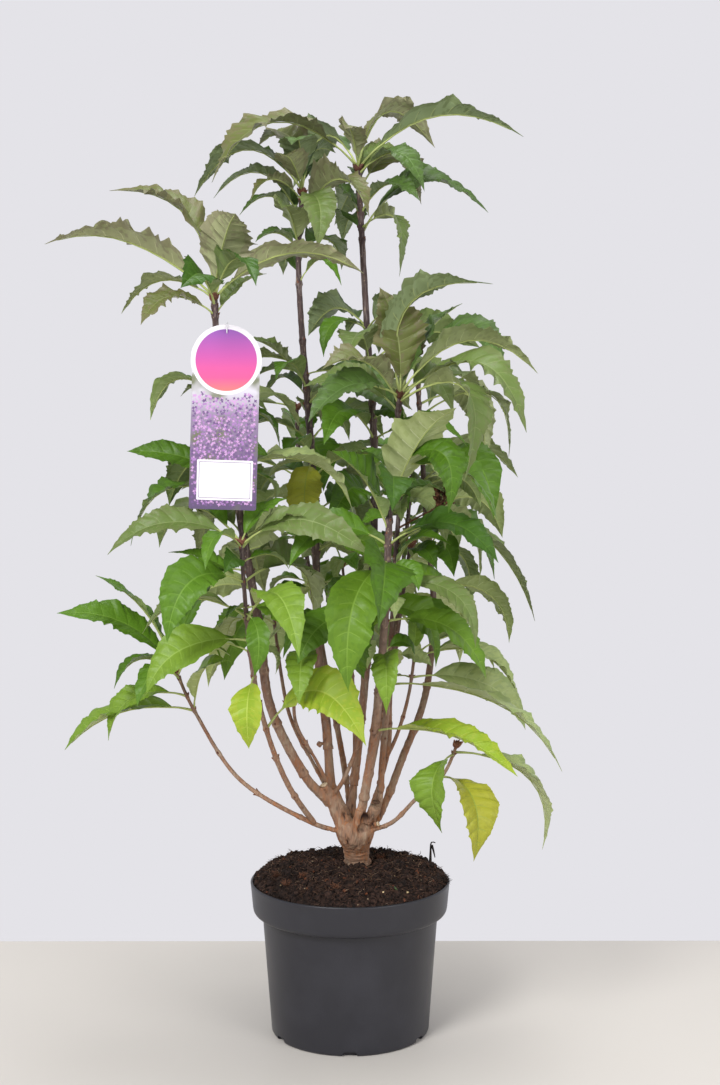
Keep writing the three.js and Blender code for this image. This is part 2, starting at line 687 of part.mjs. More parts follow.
const bark = new THREE.MeshStandardMaterial({ color: "#6b5040", roughness: 0.85, metalness: 0 });
const foliage = new THREE.MeshStandardMaterial({ color: "#3f7a24", roughness: 0.55, metalness: 0 });
const plastic = new THREE.MeshStandardMaterial({ color: "#35363a", roughness: 0.45, metalness: 0 });
const peat = new THREE.MeshStandardMaterial({ color: "#2a1d16", roughness: 0.95, metalness: 0 });
const card = new THREE.MeshStandardMaterial({ color: "#f2eef4", roughness: 0.35, metalness: 0 });
const strap = new THREE.MeshStandardMaterial({ color: "#e8e8ea", roughness: 0.4, metalness: 0 });

const group = new THREE.Group();
const addNode = (name, solid, material) => {
  const mesh = new THREE.Mesh(geometryOf(solid), material);
  mesh.name = name;
  group.add(mesh);
};

growLeaves();
for (const stem of Object.values(stems)) stem.start = clearWay(stem);
addNode("pot", potSolid(), plastic);
addNode("soil", soilSolid(), peat);
addNode("trunk", trunkSolid(), bark);
for (const stem of Object.values(stems)) {
  const own = masses.filter((mass) => mass.stem === stem);
  addNode(`bough_${stem.name}`, boughSolid(stem, stem.start + seatGap, own[0].from - seatGap), bark);
  if (own.length > 1) {
    const upper = limb(stem, own[0].to + seatGap, own[1].from - seatGap, limbSides, limbStep);
    addNode(`bough_${stem.name}_upper`, upper, bark);
  }
}
for (const mass of masses) addNode(mass.name, massSolid(mass), foliage);
addNode("tag_card", tagSolid(), card);
addNode("tag_strap", strapSolid(), strap);

export default group;
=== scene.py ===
# Lilac shrub in a nursery pot: the looks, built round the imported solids.
# The growth rule works in millimetres as the part's source does. Every mesh is in metres.
import math

import bmesh
import bpy
import numpy as np
from mathutils import Matrix, Vector, noise


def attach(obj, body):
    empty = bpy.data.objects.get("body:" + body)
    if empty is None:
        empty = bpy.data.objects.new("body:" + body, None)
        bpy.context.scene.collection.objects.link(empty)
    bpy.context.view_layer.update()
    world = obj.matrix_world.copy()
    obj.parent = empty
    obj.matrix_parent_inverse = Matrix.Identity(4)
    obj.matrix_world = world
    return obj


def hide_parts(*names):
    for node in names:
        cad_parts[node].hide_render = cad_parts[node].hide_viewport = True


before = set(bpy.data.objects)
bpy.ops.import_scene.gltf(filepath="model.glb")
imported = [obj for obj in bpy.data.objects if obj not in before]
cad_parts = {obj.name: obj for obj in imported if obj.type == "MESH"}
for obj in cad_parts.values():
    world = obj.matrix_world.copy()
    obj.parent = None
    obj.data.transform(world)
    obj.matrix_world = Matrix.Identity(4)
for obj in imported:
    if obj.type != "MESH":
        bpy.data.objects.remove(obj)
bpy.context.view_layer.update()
mm = 0.001
fullTurn = 6.28  # radians, near enough for directions and phases drawn by chance


# The stems, as in the part's source: points are (right, back, up), radii those of the two ends,
# and leafy stretches are heights.
stems = {
    "low_left": {
        "from": "stump", "radii": (3.6, 2.1), "leafy": ((448, 524),),
        "points": ((-4, -4, 282), (-55, -20, 300), (-150, -50, 366), (-208, -66, 460), (-236, -70, 524)),
    },
    "front_left": {
        "from": "low_left", "radii": (4.1, 2.6), "leafy": ((432, 702),),
        "points": ((-50, -18, 298), (-85, -66, 365), (-112, -104, 450), (-130, -128, 550),
                   (-141, -138, 702)),
    },
    "tall_left": {
        "from": "stump", "radii": (7, 4), "leafy": ((600, 905), (985, 1018)),
        "points": ((-27, 0, 325), (-62, -25, 366), (-108, -58, 470), (-122, -85, 590),
                   (-163, -120, 857), (-174, -130, 1018)),
    },
    "thin_left_back": {
        "from": "stump", "radii": (3.2, 2.1), "leafy": ((480, 600),),
        "points": ((-29, 6, 338), (-52, 30, 372), (-88, 60, 440), (-108, 110, 540), (-115, 130, 600)),
    },
    "thin_left_front": {
        "from": "stump", "radii": (2.9, 2), "leafy": ((470, 545),),
        "points": ((-30, 2, 345), (-46, -12, 383), (-74, -45, 445), (-72, -62, 505), (-57, -72, 545)),
    },
    "tall_centre_left": {
        "from": "stump", "radii": (7, 3.4), "leafy": ((560, 950), (1040, 1175)),
        "points": ((-27, 3, 335), (-33, 12, 428), (-45, 20, 540), (-50, 25, 760), (-70, 30, 1044),
                   (-65, 30, 1175)),
    },
    "centre_front": {
        "from": "stump", "radii": (3.3, 2.2), "leafy": ((500, 650),),
        "points": ((-24, -2, 335), (-8, -25, 362), (14, -44, 425), (18, -70, 500), (16, -108, 650)),
    },
    "tall_centre": {
        "from": "stump", "radii": (6.2, 4), "leafy": ((560, 1005), (1105, 1212)),
        "points": ((0, 8, 282), (4, 22, 330), (18, 42, 455), (30, 56, 602), (35, 62, 800),
                   (22, 62, 1030), (12, 60, 1212)),
    },
    "centre_back": {
        "from": "stump", "radii": (3, 2), "leafy": ((470, 650),),
        "points": ((2, 22, 284), (6, 55, 335), (5, 95, 453), (-4, 120, 570), (-12, 130, 650)),
    },
    "tall_front_right": {
        "from": "stump", "radii": (7, 3.4), "leafy": ((428, 815), (862, 892)),
        "points": ((8, -8, 280), (20, -36, 340), (35, -70, 445), (47, -108, 593), (54, -128, 753),
                   (66, -150, 892)),
    },
    "twin_right": {
        "from": "stump", "radii": (4.8, 3), "leafy": ((600, 775),),
        "points": ((22, -6, 288), (40, -18, 325), (45, -34, 393), (55, -52, 521), (62, -66, 671),
                   (70, -70, 775)),
    },
    "thin_right": {
        "from": "stump", "radii": (3.6, 2.4), "leafy": ((470, 690),),
        "points": ((20, 8, 288), (36, 18, 329), (54, 6, 399), (57, -10, 485), (72, -24, 610),
                   (84, -28, 690)),
    },
    "side_right": {
        "from": "thin_right", "radii": (2.8, 2.1), "leafy": ((480, 532),),
        "points": ((51, 7, 384), (68, 6, 423), (82, 0, 475), (90, -6, 532)),
    },
    "tall_right": {
        "from": "stump", "radii": (5.8, 3), "leafy": ((560, 790), (850, 938)),
        "points": ((16, 0, 284), (42, 2, 306), (74, 20, 382), (108, 50, 470), (120, 80, 590),
                   (110, 95, 715), (100, 100, 872), (96, 100, 938)),
    },
    "low_right": {
        "from": "stump", "radii": (3.2, 2.1), "leafy": ((362, 421),),
        "points": ((18, -6, 282), (58, -24, 300), (92, -40, 338), (128, -60, 376), (146, -72, 421)),
    },
    "back_left": {
        "from": "stump", "radii": (4.6, 2.6), "leafy": ((500, 880),),
        "points": ((0, 14, 284), (-8, 50, 360), (-40, 110, 520), (-70, 160, 700), (-80, 185, 880)),
    },
    "back_right": {
        "from": "stump", "radii": (4.6, 2.6), "leafy": ((460, 800),),
        "points": ((14, 12, 286), (28, 48, 350), (60, 110, 500), (80, 160, 660), (95, 190, 800)),
    },
}

# The leaves of the crown's outline, as in the part's source: root height, then how far the tip lies
# right, behind and above, the arch, and the width where it isn't the rule's. Their colours are added.
outline = {
    "low_left": (
        (522, -102, -10, 134, 0.1, "mid"), (520, -157, -20, 82, 0.15, "mid"),
        (515, -85, -50, -8, 0.3, "deep"), (522, 59, 20, 133, 0.1, "mid"),
        (514, 78, -42, 38, 0.2, 0.42, "fresh"), (508, -47, -90, -21, 0.3, 0.4, "mid"),
        (485, -111, -30, -54, 0.25, "fresh"), (465, -180, 0, -56, 0.15, "fresh"),
        (465, 40, -50, 78, 0.2, 0.46, "fresh"),
    ),
    "front_left": (
        (446, 129, -58, -14, 0.45, 0.5, "lime"), (520, -4, -44, -90, 0.35, 0.42, "lime"),
        (605, 15, -40, -80, 0.4, "mid"), (569, -139, -56, -53, 0.15, 0.36, "fresh"),
        (600, -138, -19, -18, 0.25, 0.24, "olive"),
        (645, -100, 10, 42, 0.1, "mid"), (700, -175, -25, -12, 0.18, 0.22, "olive"),
        (690, 143, -40, 30, 0.2, 0.26, "olive"), (694, 160, -80, -13, 0.24, 0.26, "olive"),
        (692, -45, -90, -20, 0.3, "mid"), (696, 60, 20, 60, 0.15, "mid"),
    ),
    "tall_left": (
        (1016, -215, -20, 85, 0.11, "bronze"), (1018, -143, 40, 143, 0.24, "bronze"),
        (1016, 38, -95, 105, 0.1, 0.46, "bronze"), (1014, 197, 10, 38, 0.2, 0.26, "bronze"),
        (992, -94, -70, -13, 0.25, 0.4, "bronze"), (992, 62, 60, 62, 0.1, "olive"),
        (885, -98, 20, -27, 0.4, 0.42, "mid"), (775, -142, 0, 40, 0.1, 0.25, "deep"),
        (752, -80, 60, 20, 0.1, 0.25, "deep"), (860, 75, 40, -40, 0.3, "deep"),
        (790, 50, 20, -70, 0.4, "mid"),
    ),
    "tall_centre_left": (
        (1174, -160, 70, 3, 0.35, "shade"), (1170, -73, 90, 82, 0.35, "bronze"),
        (1175, 38, 80, 72, 0.2, "shade"), (1172, -25, -120, 30, 0.15, "bronze"),
        (1160, -72, -60, -4, 0.3, "bronze"), (1160, 30, -80, -75, 0.35, 0.4, "olive"),
        (1118, -85, -30, 21, 0.4, "shade"), (1090, -22, -110, 50, 0.2, 0.4, "olive"),
        (1046, 58, -40, -5, 0.5, "mid"), (1046, -32, 100, 28, 0.3, "shade"),
        (905, -85, -40, 72, 0.1, "olive"), (900, -42, -100, 8, 0.3, "mid"),
        (885, -67, 60, 14, 0.3, "shade"), (800, -8, -60, -105, 0.3, 0.4, "yellow"),
    ),
    "tall_centre": (
        (1208, 231, -20, 41, 0.22, 0.24, "shade"), (1211, 110, 110, 45, 0.4, "bronze"),
        (1210, -202, -110, -31, 0.3, "bronze"), (1206, -20, -110, 45, 0.2, "bronze"),
        (1200, 90, -70, -31, 0.35, "shade"), (1118, 180, -10, 31, 0.33, "shade"),
        (1118, -75, 30, 77, 0.25, "shade"), (1126, 55, -80, -75, 0.45, "olive"),
        (1110, -30, 120, 10, 0.3, "shade"), (985, -66, -50, -40, 0.35, "mid"),
    ),
    "tall_front_right": (
        (890, 115, -40, 143, 0.35, 0.4, "shade"), (884, 78, 70, 130, 0.1, "shade"),
        (888, 184, -10, 38, 0.28, "olive"), (882, 165, -90, -35, 0.35, "olive"),
        (876, -100, -80, 45, 0.25, 0.4, "bronze"), (868, -125, 30, 30, 0.2, "olive"),
        (880, 90, -100, -102, 0.5, 0.36, "olive"), (890, -20, 10, 140, 0.06, 0.46, "bronze"),
        (745, 80, -82, 138, 0.08, 0.42, "pale"), (795, 77, -60, -57, 0.5, 0.4, "deep"),
        (708, -67, -68, 111, 0.1, 0.45, "mid"), (672, -46, -87, -159, 0.3, 0.34, "mid_b"),
        (640, 128, -36, -76, 0.25, 0.22, "olive"),
        (437, 186, -90, -40, 0.12, 0.3, "lime"),
    ),
    "twin_right": ((702, 120, -40, -60, 0.42, 0.36, "olive"), (640, 75, -40, 60, 0.3, "mid")),
    "tall_right": (
        (745, 160, -20, -175, 0.12, 0.2, "olive"), (682, 60, 40, -99, 0.3, "deep"),
        (862, 140, -20, -57, 0.45, "olive"), (880, 90, 60, -90, 0.5, "olive"),
    ),
    "thin_right": ((492, 240, -110, -85, 0.12, 0.24, "pale"),),
    "side_right": (
        (528, 10, 30, 75, 0.1, "fresh"), (526, 147, -35, -46, 0.25, 0.34, "pale"),
        (530, 118, 26, -27, 0.35, 0.26, "pale"), (500, 175, 20, -70, 0.15, 0.28, "pale"),
        (500, -25, 30, -60, 0.5, "pale"),
    ),
    "low_right": (
        (405, -21, -47, -98, 0.5, 0.5, "fresh"), (372, 45, -92, -96, 0.35, 0.42, "yellow"),
        (408, 134, 10, -138, 0.25, "pale"),
    ),
    "thin_left_front": ((543, -53, -28, 21, 0.5, 0.5, "pale"),),
    "centre_front": ((640, -7, -45, -124, 0.3, 0.42, "deep"), (646, -38, 12, -52, 0.4, 0.5, "deep")),
}

rule = {
    "seatGap": 0.3,
    "stumpFoot": (10, 18, 231.3), "stumpTop": (7, 0, 286), "stumpRadii": (21, 17, 19, 26, 28, 20),
    "arm": ((-2, 0, 284), (-18, 1, 316), (-28, 4, 342)), "armRadii": (17, 12, 11),
    "petioleShare": 0.14, "bladeRise": 1, "bladeFall": 1.25, "leafFold": 0.32, "leafWidth": 0.33,
    "leafSpacing": 7, "leafClearance": 10, "nearRoot": 60,
    "leafFacing": 0.42, "facingFades": (860, 1000), "openFoot": ((170, 500), (420, 470)),
    "pairSpacing": 66, "pairLength": (133, 183), "pairArch": (0.18, 0.38),
    "pairWidth": (0.33, 0.4125), "riseSpread": 30, "turnSpread": 30, "leafRoll": 1.1, "leafTwist": 0.9,
    "tries": ((0, 1), (28, 1), (-28, 1), (0, 0.8), (50, 0.85), (-50, 0.85), (12, 0.62)),
}

tag = {
    "width": 87, "head": 45.5, "length": 192, "thickness": 1.2, "centre": (-157, -153, 934),
    "lean": 1.9, "slot": (9, 5), "slotRise": 34, "strapRadius": 0.8, "strapPlay": 0.35,
}


# Sums on plain triples, so that the rule gives the very numbers of the part's source.
def plus(a, b):
    return (a[0] + b[0], a[1] + b[1], a[2] + b[2])


def minus(a, b):
    return (a[0] - b[0], a[1] - b[1], a[2] - b[2])


def times(a, k):
    return (a[0] * k, a[1] * k, a[2] * k)


def dot(a, b):
    return a[0] * b[0] + a[1] * b[1] + a[2] * b[2]


def cross(a, b):
    return (a[1] * b[2] - a[2] * b[1], a[2] * b[0] - a[0] * b[2], a[0] * b[1] - a[1] * b[0])


def size(a):
    return math.sqrt(dot(a, a))


def unit(a):
    return times(a, 1 / size(a))


def mix(a, b, k):
    return plus(times(a, 1 - k), times(b, k))


def seeded(seed):
    state = seed * 7919 + 17

    def draw():
        nonlocal state
        state = (state * 16807) % 2147483647
        return state / 2147483647

    return draw


def route(points):
    steps = 12
    line = [points[0]]
    for i in range(len(points) - 1):
        a, b, c = points[max(i - 1, 0)], points[i], points[i + 1]
        d = points[min(i + 2, len(points) - 1)]
        for k in range(1, steps + 1):
            t = k / steps
            bend = plus(times(minus(c, a), 0.5 * t * (1 - t) * (1 - t)),
                        times(minus(d, b), -0.5 * t * t * (1 - t)))
            line.append(plus(mix(b, c, t * t * (3 - 2 * t)), bend))
    way = [0]
    for i in range(1, len(line)):
        way.append(way[i - 1] + size(minus(line[i], line[i - 1])))
    return {"line": line, "way": way, "length": way[-1]}


def placeAt(path, s):
    i = 1
    while i < len(path["way"]) - 1 and path["way"][i] < s:
        i += 1
    step = path["way"][i] - path["way"][i - 1]
    return mix(path["line"][i - 1], path["line"][i], (s - path["way"][i - 1]) / step)


def wayToHeight(path, height):
    i = 1
    while i < len(path["line"]) - 1 and path["line"][i][2] < height:
        i += 1
    rise = path["line"][i][2] - path["line"][i - 1][2]
    share = min(1, (height - path["line"][i - 1][2]) / rise)
    return path["way"][i - 1] + share * (path["way"][i] - path["way"][i - 1])


def radiusAt(stem, s):
    return stem["radii"][0] + (stem["radii"][1] - stem["radii"][0]) * (s / stem["path"]["length"])


def ringsAlong(path, ways, radii, sides):
    across = None
    rings = []
    for s, radius in zip(ways, radii):
        ahead = unit(minus(placeAt(path, s + 0.5), placeAt(path, s - 0.5)))
        start = across or ((1, 0, 0) if abs(ahead[2]) > 0.9 else (0, 0, 1))
        across = unit(minus(start, times(ahead, dot(start, ahead))))
        beside = cross(ahead, across)
        centre = placeAt(path, s)
        for k in range(sides):
            turn = (2 * math.pi * k) / sides
            out = plus(times(across, math.cos(turn)), times(beside, math.sin(turn)))
            rings.append(plus(centre, times(out, radius)))
    return rings


for stemName, stem in stems.items():
    stem["name"] = stemName
    stem["path"] = route(stem["points"])

# Taken points, in a grid of cells
taken = {}


def cellOf(p):
    cell = rule["leafClearance"]
    return (math.floor(p[0] / cell), math.floor(p[1] / cell), math.floor(p[2] / cell))


def take(points, owner):
    for at, near in points:
        taken.setdefault(cellOf(at), []).append((at, near, owner))


def isFree(points, owner, closeKin, clearance):
    for at, near in points:
        i, j, k = cellOf(at)
        for a in (i - 1, i, i + 1):
            for b in (j - 1, j, j + 1):
                for c in (k - 1, k, k + 1):
                    for other, otherNear, otherOwner in taken.get((a, b, c), ()):
                        if otherOwner == owner and (closeKin or near or otherNear):
                            continue
                        if size(minus(at, other)) < clearance:
                            return False
    return True


def stemPoints(stem, start, end):
    count = max(2, math.ceil((end - start) / rule["leafSpacing"]))
    ways = [start + ((end - start) * i) / count for i in range(count + 1)]
    rings = ringsAlong(stem["path"], ways, [radiusAt(stem, s) for s in ways], 6)
    return [(at, True) for at in rings]


def leafFrame(leaf, t):
    span = minus(leaf["tip"], leaf["root"])
    length = size(span)
    along = times(span, 1 / length)
    over = unit(minus((0, 0, 1), times(along, along[2])))
    across = cross(along, over)
    top = plus(mix(leaf["root"], leaf["tip"], 0.5), times(over, 2 * leaf["arch"] * length))
    middle = mix(mix(leaf["root"], top, t), mix(top, leaf["tip"], t), t)
    ahead = unit(mix(minus(top, leaf["root"]), minus(leaf["tip"], top), t))
    above = cross(across, ahead)
    roll = leaf["roll"] + leaf["twist"] * t
    side = plus(times(across, math.cos(roll)), times(above, math.sin(roll)))
    return middle, side, cross(side, ahead)


def bladeShape(u):
    rise, fall = rule["bladeRise"], rule["bladeFall"]
    widest = rise / (rise + fall)
    return (u / widest) ** rise * ((1 - u) / (1 - widest)) ** fall


def leafPoints(leaf, nearRoot):
    spacing = rule["leafSpacing"]
    length = size(minus(leaf["tip"], leaf["root"])) * (1 + 2 * leaf["arch"] * leaf["arch"])
    rows = math.ceil(length / spacing)
    points = []
    for i in range(1, rows + 1):
        t = i / rows
        u = (t - rule["petioleShare"]) / (1 - rule["petioleShare"])
        middle, side, above = leafFrame(leaf, t)
        half = 0.5 * leaf["width"] * bladeShape(u) if 0 < u < 1 else 0
        columns = math.ceil(half / spacing)
        for k in range(-columns, columns + 1):
            out = (half * k) / columns if columns else 0
            at = plus(plus(middle, times(side, out)), times(above, rule["leafFold"] * abs(out)))
            points.append((at, size(minus(at, leaf["root"])) < nearRoot))
    return points


masses = []
for stem in stems.values():
    for i, (low, high) in enumerate(stem["leafy"]):
        part = "" if len(stem["leafy"]) == 1 else ("_middle", "_top")[i]
        masses.append({
            "name": "foliage_" + stem["name"] + part, "stem": stem, "low": low, "high": high,
            "from": wayToHeight(stem["path"], low) + rule["seatGap"],
            "to": wayToHeight(stem["path"], high),
            "isTop": i == len(stem["leafy"]) - 1, "leaves": [],
        })


def makeLeaf(mass, height, reach, arch, width, draw):
    path = mass["stem"]["path"]
    root = placeAt(path, wayToHeight(path, height))
    tip = plus(root, reach)
    starts, ends = rule["facingFades"]
    facing = rule["leafFacing"] * min(1, max(0, (ends - height) / (ends - starts)))
    roll = rule["leafRoll"] * (draw() - 0.5) - (facing if tip[1] < 40 else -facing) * reach[0] / size(reach)
    twist = rule["leafTwist"] * (draw() - 0.5)
    return {"root": root, "tip": tip, "arch": arch, "width": width * size(reach),
            "roll": roll, "twist": twist, "height": height}


def leavesFootOpen(points):
    return all(near or at[2] > height or math.hypot(at[0], at[1]) > radius
               for at, near in points for radius, height in rule["openFoot"])


def addIfFree(mass, leaf, closeKin, nearRoot=rule["nearRoot"], clearance=rule["leafClearance"]):
    points = leafPoints(leaf, nearRoot)
    if not closeKin and not leavesFootOpen(points):
        return False
    if not isFree(points, mass["name"], closeKin, clearance):
        return False
    take(points, mass["name"])
    mass["leaves"].append(leaf)
    return True


def onTag(x, z):
    along, aside = math.cos(math.radians(tag["lean"])), math.sin(math.radians(tag["lean"]))
    return plus(tag["centre"], (x * along + z * aside, 0, z * along - x * aside))


def tagPoints():
    spacing = rule["leafSpacing"]
    columns = math.floor(tag["width"] / spacing) + 1
    rows = math.floor((tag["length"] + tag["head"]) / spacing) + 1
    return [(onTag(-tag["width"] / 2 + spacing * i, -tag["length"] + spacing * k), False)
            for i in range(columns) for k in range(rows)]


def growPairs(mass, draw):
    def within(limits):
        return limits[0] + (limits[1] - limits[0]) * draw()

    pairs = max(2, math.floor((mass["high"] - mass["low"]) / rule["pairSpacing"] + 0.5) + 1)
    firstTurn = 360 * draw()
    topMargin = 5 if mass["isTop"] else 20
    for i in range(pairs):
        height = mass["high"] - topMargin - ((mass["high"] - mass["low"] - topMargin - 10) * i) / pairs
        for half in (0, 180):
            turn = firstTurn + 90 * i + half + rule["turnSpread"] * (draw() - 0.5)
            rise = -32 + 0.055 * (height - 400) + rule["riseSpread"] * (draw() - 0.5)
            length, arch = within(rule["pairLength"]), within(rule["pairArch"])
            width = within(rule["pairWidth"])
            for spin, share in rule["tries"]:
                flat = length * share * math.cos(math.radians(rise))
                heading = math.radians(turn + spin)
                reach = (flat * math.cos(heading), flat * math.sin(heading),
                         length * share * math.sin(math.radians(rise)))
                if addIfFree(mass, makeLeaf(mass, height, reach, arch, width, draw), False):
                    break


# Finer growth that the solids leave out: small leaves between the larger ones, kept off the tips of
# the stems.
fine = {
    "every": 52, "belowTop": 30, "length": (48, 92), "width": (0.36, 0.46), "arch": (0.12, 0.4),
    "nearRoot": 24, "clearance": 7.5, "turns": (0, 40, -40, 90, -90, 140),
}


def growFine(mass, draw):
    def within(limits):
        return limits[0] + (limits[1] - limits[0]) * draw()

    stretch = mass["high"] - mass["low"] - fine["belowTop"]
    nodes = math.floor(stretch / fine["every"])
    for i in range(nodes):
        height = mass["high"] - fine["belowTop"] - stretch * i / nodes
        for half in (0, 180):
            turn = 360 * draw() + half
            rise = -30 + 0.06 * (height - 400) + 36 * (draw() - 0.5)
            length, arch, width = within(fine["length"]), within(fine["arch"]), within(fine["width"])
            for spin in fine["turns"]:
                heading = math.radians(turn + spin)
                flat = length * math.cos(math.radians(rise))
                reach = (flat * math.cos(heading), flat * math.sin(heading),
                         length * math.sin(math.radians(rise)))
                leaf = makeLeaf(mass, height, reach, arch, width, draw)
                if addIfFree(mass, leaf, False, fine["nearRoot"], fine["clearance"]):
                    break


def growLeaves():
    for stem in stems.values():
        start = 0
        for mass in [m for m in masses if m["stem"] is stem]:
            take(stemPoints(stem, start, mass["from"]), "limb")
            take(stemPoints(stem, mass["from"], mass["to"]), mass["name"])
            start = mass["to"]
    take(tagPoints(), "tag")
    for m, mass in enumerate(masses):
        draw = seeded(m + 1)
        for row in outline.get(mass["stem"]["name"], ()):
            height, right, back, up, arch = row[:5]
            if height < mass["low"] or height > mass["high"]:
                continue
            width = row[5] if len(row) == 7 else rule["leafWidth"]
            leaf = makeLeaf(mass, height, (right, back, up), arch, width, draw)
            leaf["colour"] = row[-1]
            addIfFree(mass, leaf, True)
    for m, mass in enumerate(masses):
        growPairs(mass, seeded(m + 101))
    main = sum(len(mass["leaves"]) for mass in masses)
    for m, mass in enumerate(masses):
        growFine(mass, seeded(m + 301))
    print("grown:", main, "leaves of the source and", sum(len(m["leaves"]) for m in masses) - main, "small")


growLeaves()


# Meshes are gathered as points and faces, then made in one go.
def newStock():
    return {"points": [], "corners": [], "counts": [], "slots": [], "creases": [], "relief": [], "total": 0}


def addPart(stock, points, corners, counts, slots, creases=None, relief=None):
    points = np.asarray(points, float).reshape(-1, 3)
    stock["points"].append(points)
    stock["corners"].append(np.asarray(corners, int) + stock["total"])
    stock["counts"].append(np.asarray(counts, int))
    stock["slots"].append(np.asarray(slots, int) if np.ndim(slots) else np.full(len(counts), slots))
    stock["creases"].append(np.zeros(len(points), int) if creases is None else creases)
    stock["relief"].append(np.full(len(points), 0.5) if relief is None else np.asarray(relief, float))
    stock["total"] += len(points)


def makeMesh(name, stock, materials):
    points = np.concatenate(stock["points"]) * mm
    corners = np.concatenate(stock["corners"])
    counts = np.concatenate(stock["counts"])
    mesh = bpy.data.meshes.new(name)
    mesh.vertices.add(len(points))
    mesh.vertices.foreach_set("co", points.astype(np.float32).ravel())
    mesh.loops.add(len(corners))
    mesh.loops.foreach_set("vertex_index", corners.astype(np.int32))
    mesh.polygons.add(len(counts))
    mesh.polygons.foreach_set("loop_start", (np.cumsum(counts) - counts).astype(np.int32))
    mesh.polygons.foreach_set("material_index", np.concatenate(stock["slots"]).astype(np.int32))
    mesh.update(calc_edges=True)
    mesh.polygons.foreach_set("use_smooth", np.ones(len(counts), bool))
    creases = np.concatenate(stock["creases"])
    if creases.any():
        ends = np.zeros(2 * len(mesh.edges), np.int32)
        mesh.edges.foreach_get("vertices", ends)
        sharp = (creases[ends[::2]] & creases[ends[1::2]]) > 0
        mesh.attributes.new("sharp_edge", "BOOLEAN", "EDGE").data.foreach_set("value", sharp)
    setRelief(mesh, np.concatenate(stock["relief"]))
    for each in materials:
        mesh.materials.append(each)
    piece = bpy.data.objects.new(name, mesh)
    bpy.context.scene.collection.objects.link(piece)
    return piece


# How far each point of bark stands out, 0.5 where it is even. The bark's colour reads it to paint shade in
# hollows and highlight on crests
def setRelief(mesh, relief):
    if np.ptp(relief) > 0:
        kept = mesh.attributes.get("relief") or mesh.attributes.new("relief", "FLOAT", "POINT")
        kept.data.foreach_set("value", relief.astype(np.float32))


# A closed tube from rings of points, each end closed by a pole.
def tubePart(rings, sides):
    rings = np.asarray(rings, float).reshape(-1, sides, 3)
    count = len(rings)
    ends = [rings[0].mean(0), rings[-1].mean(0)]
    points = np.concatenate([rings.reshape(-1, 3), ends])
    corners, counts = [], []
    for i in range(count - 1):
        for k in range(sides):
            a, b = i * sides + k, i * sides + (k + 1) % sides
            corners += [a, b, b + sides, a + sides]
            counts.append(4)
    first, last = count * sides, count * sides + 1
    for k in range(sides):
        a, b = k, (k + 1) % sides
        corners += [b, a, first]
        corners += [(count - 1) * sides + a, (count - 1) * sides + b, last]
        counts += [3, 3]
    return points, corners, counts


# Colours are sRGB hex values, turned to linear here.
def linear(colour):
    channels = [int(colour[i:i + 2], 16) / 255 for i in (1, 3, 5)]
    return [c / 12.92 if c <= 0.04045 else ((c + 0.055) / 1.055) ** 2.4 for c in channels] + [1]


def addNode(tree, kind, links=None, **settings):
    node = tree.nodes.new(kind)
    for name, value in settings.items():
        setattr(node, name, value)
    for name, value in (links or {}).items():
        if isinstance(value, bpy.types.NodeSocket):
            tree.links.new(value, node.inputs[name])
        else:
            node.inputs[name].default_value = value
    return node


def newMaterial(name, **sockets):
    made = bpy.data.materials.new(name)
    made.use_nodes = True
    tree = made.node_tree
    tree.nodes.clear()
    shader = addNode(tree, "ShaderNodeBsdfPrincipled", sockets)
    output = addNode(tree, "ShaderNodeOutputMaterial", {"Surface": shader.outputs["BSDF"]})
    output.location, shader.location = (300, 0), (0, 0)
    made.diffuse_color = sockets["Base Color"]
    return made, tree, shader


def objectPlaces(tree, stretch=(1, 1, 1)):
    places = addNode(tree, "ShaderNodeTexCoord").outputs["Object"]
    return addNode(tree, "ShaderNodeMapping", {"Vector": places, "Scale": stretch}).outputs["Vector"]


# Leaf of a lilac: a thin skin with a soft wax sheen. It is puckered between its small veins, in cells
# about 6 mm wide, over a finer net. Its colours are plain ones, dealt out to the faces by leaf and by
# place on the leaf.
leafFinish = {
    "roughness": 0.42, "veinRoughness": 0.5, "cellsPerMetre": 170, "cellHeight": 0.0004,
    "netPerMetre": 420, "netHeight": 0.00004, "bumpStrength": 0.3,
}


def leafMaterial(name, colour, isVein=False):
    roughness = leafFinish["veinRoughness"] if isVein else leafFinish["roughness"]
    made, tree, shader = newMaterial(name, **{
        "Base Color": linear(colour), "Roughness": roughness, "Specular IOR Level": 0.3, "IOR": 1.45,
    })
    normal = None
    layers = (("cellsPerMetre", "cellHeight"), ("netPerMetre", "netHeight"))
    for perMetre, height in () if isVein else layers:
        cells = addNode(tree, "ShaderNodeTexVoronoi",
                        {"Vector": objectPlaces(tree), "Scale": leafFinish[perMetre]},
                        feature="DISTANCE_TO_EDGE")
        pucker = addNode(tree, "ShaderNodeMapRange", {"Value": cells.outputs["Distance"], "From Max": 0.4},
                         interpolation_type="SMOOTHSTEP")
        bump = addNode(tree, "ShaderNodeBump",
                       {"Height": pucker.outputs["Result"], "Strength": leafFinish["bumpStrength"],
                        "Distance": leafFinish[height]})
        if normal:
            tree.links.new(normal, bump.inputs["Normal"])
        normal = bump.outputs["Normal"]
    if normal:
        tree.links.new(normal, shader.inputs["Normal"])
    return made


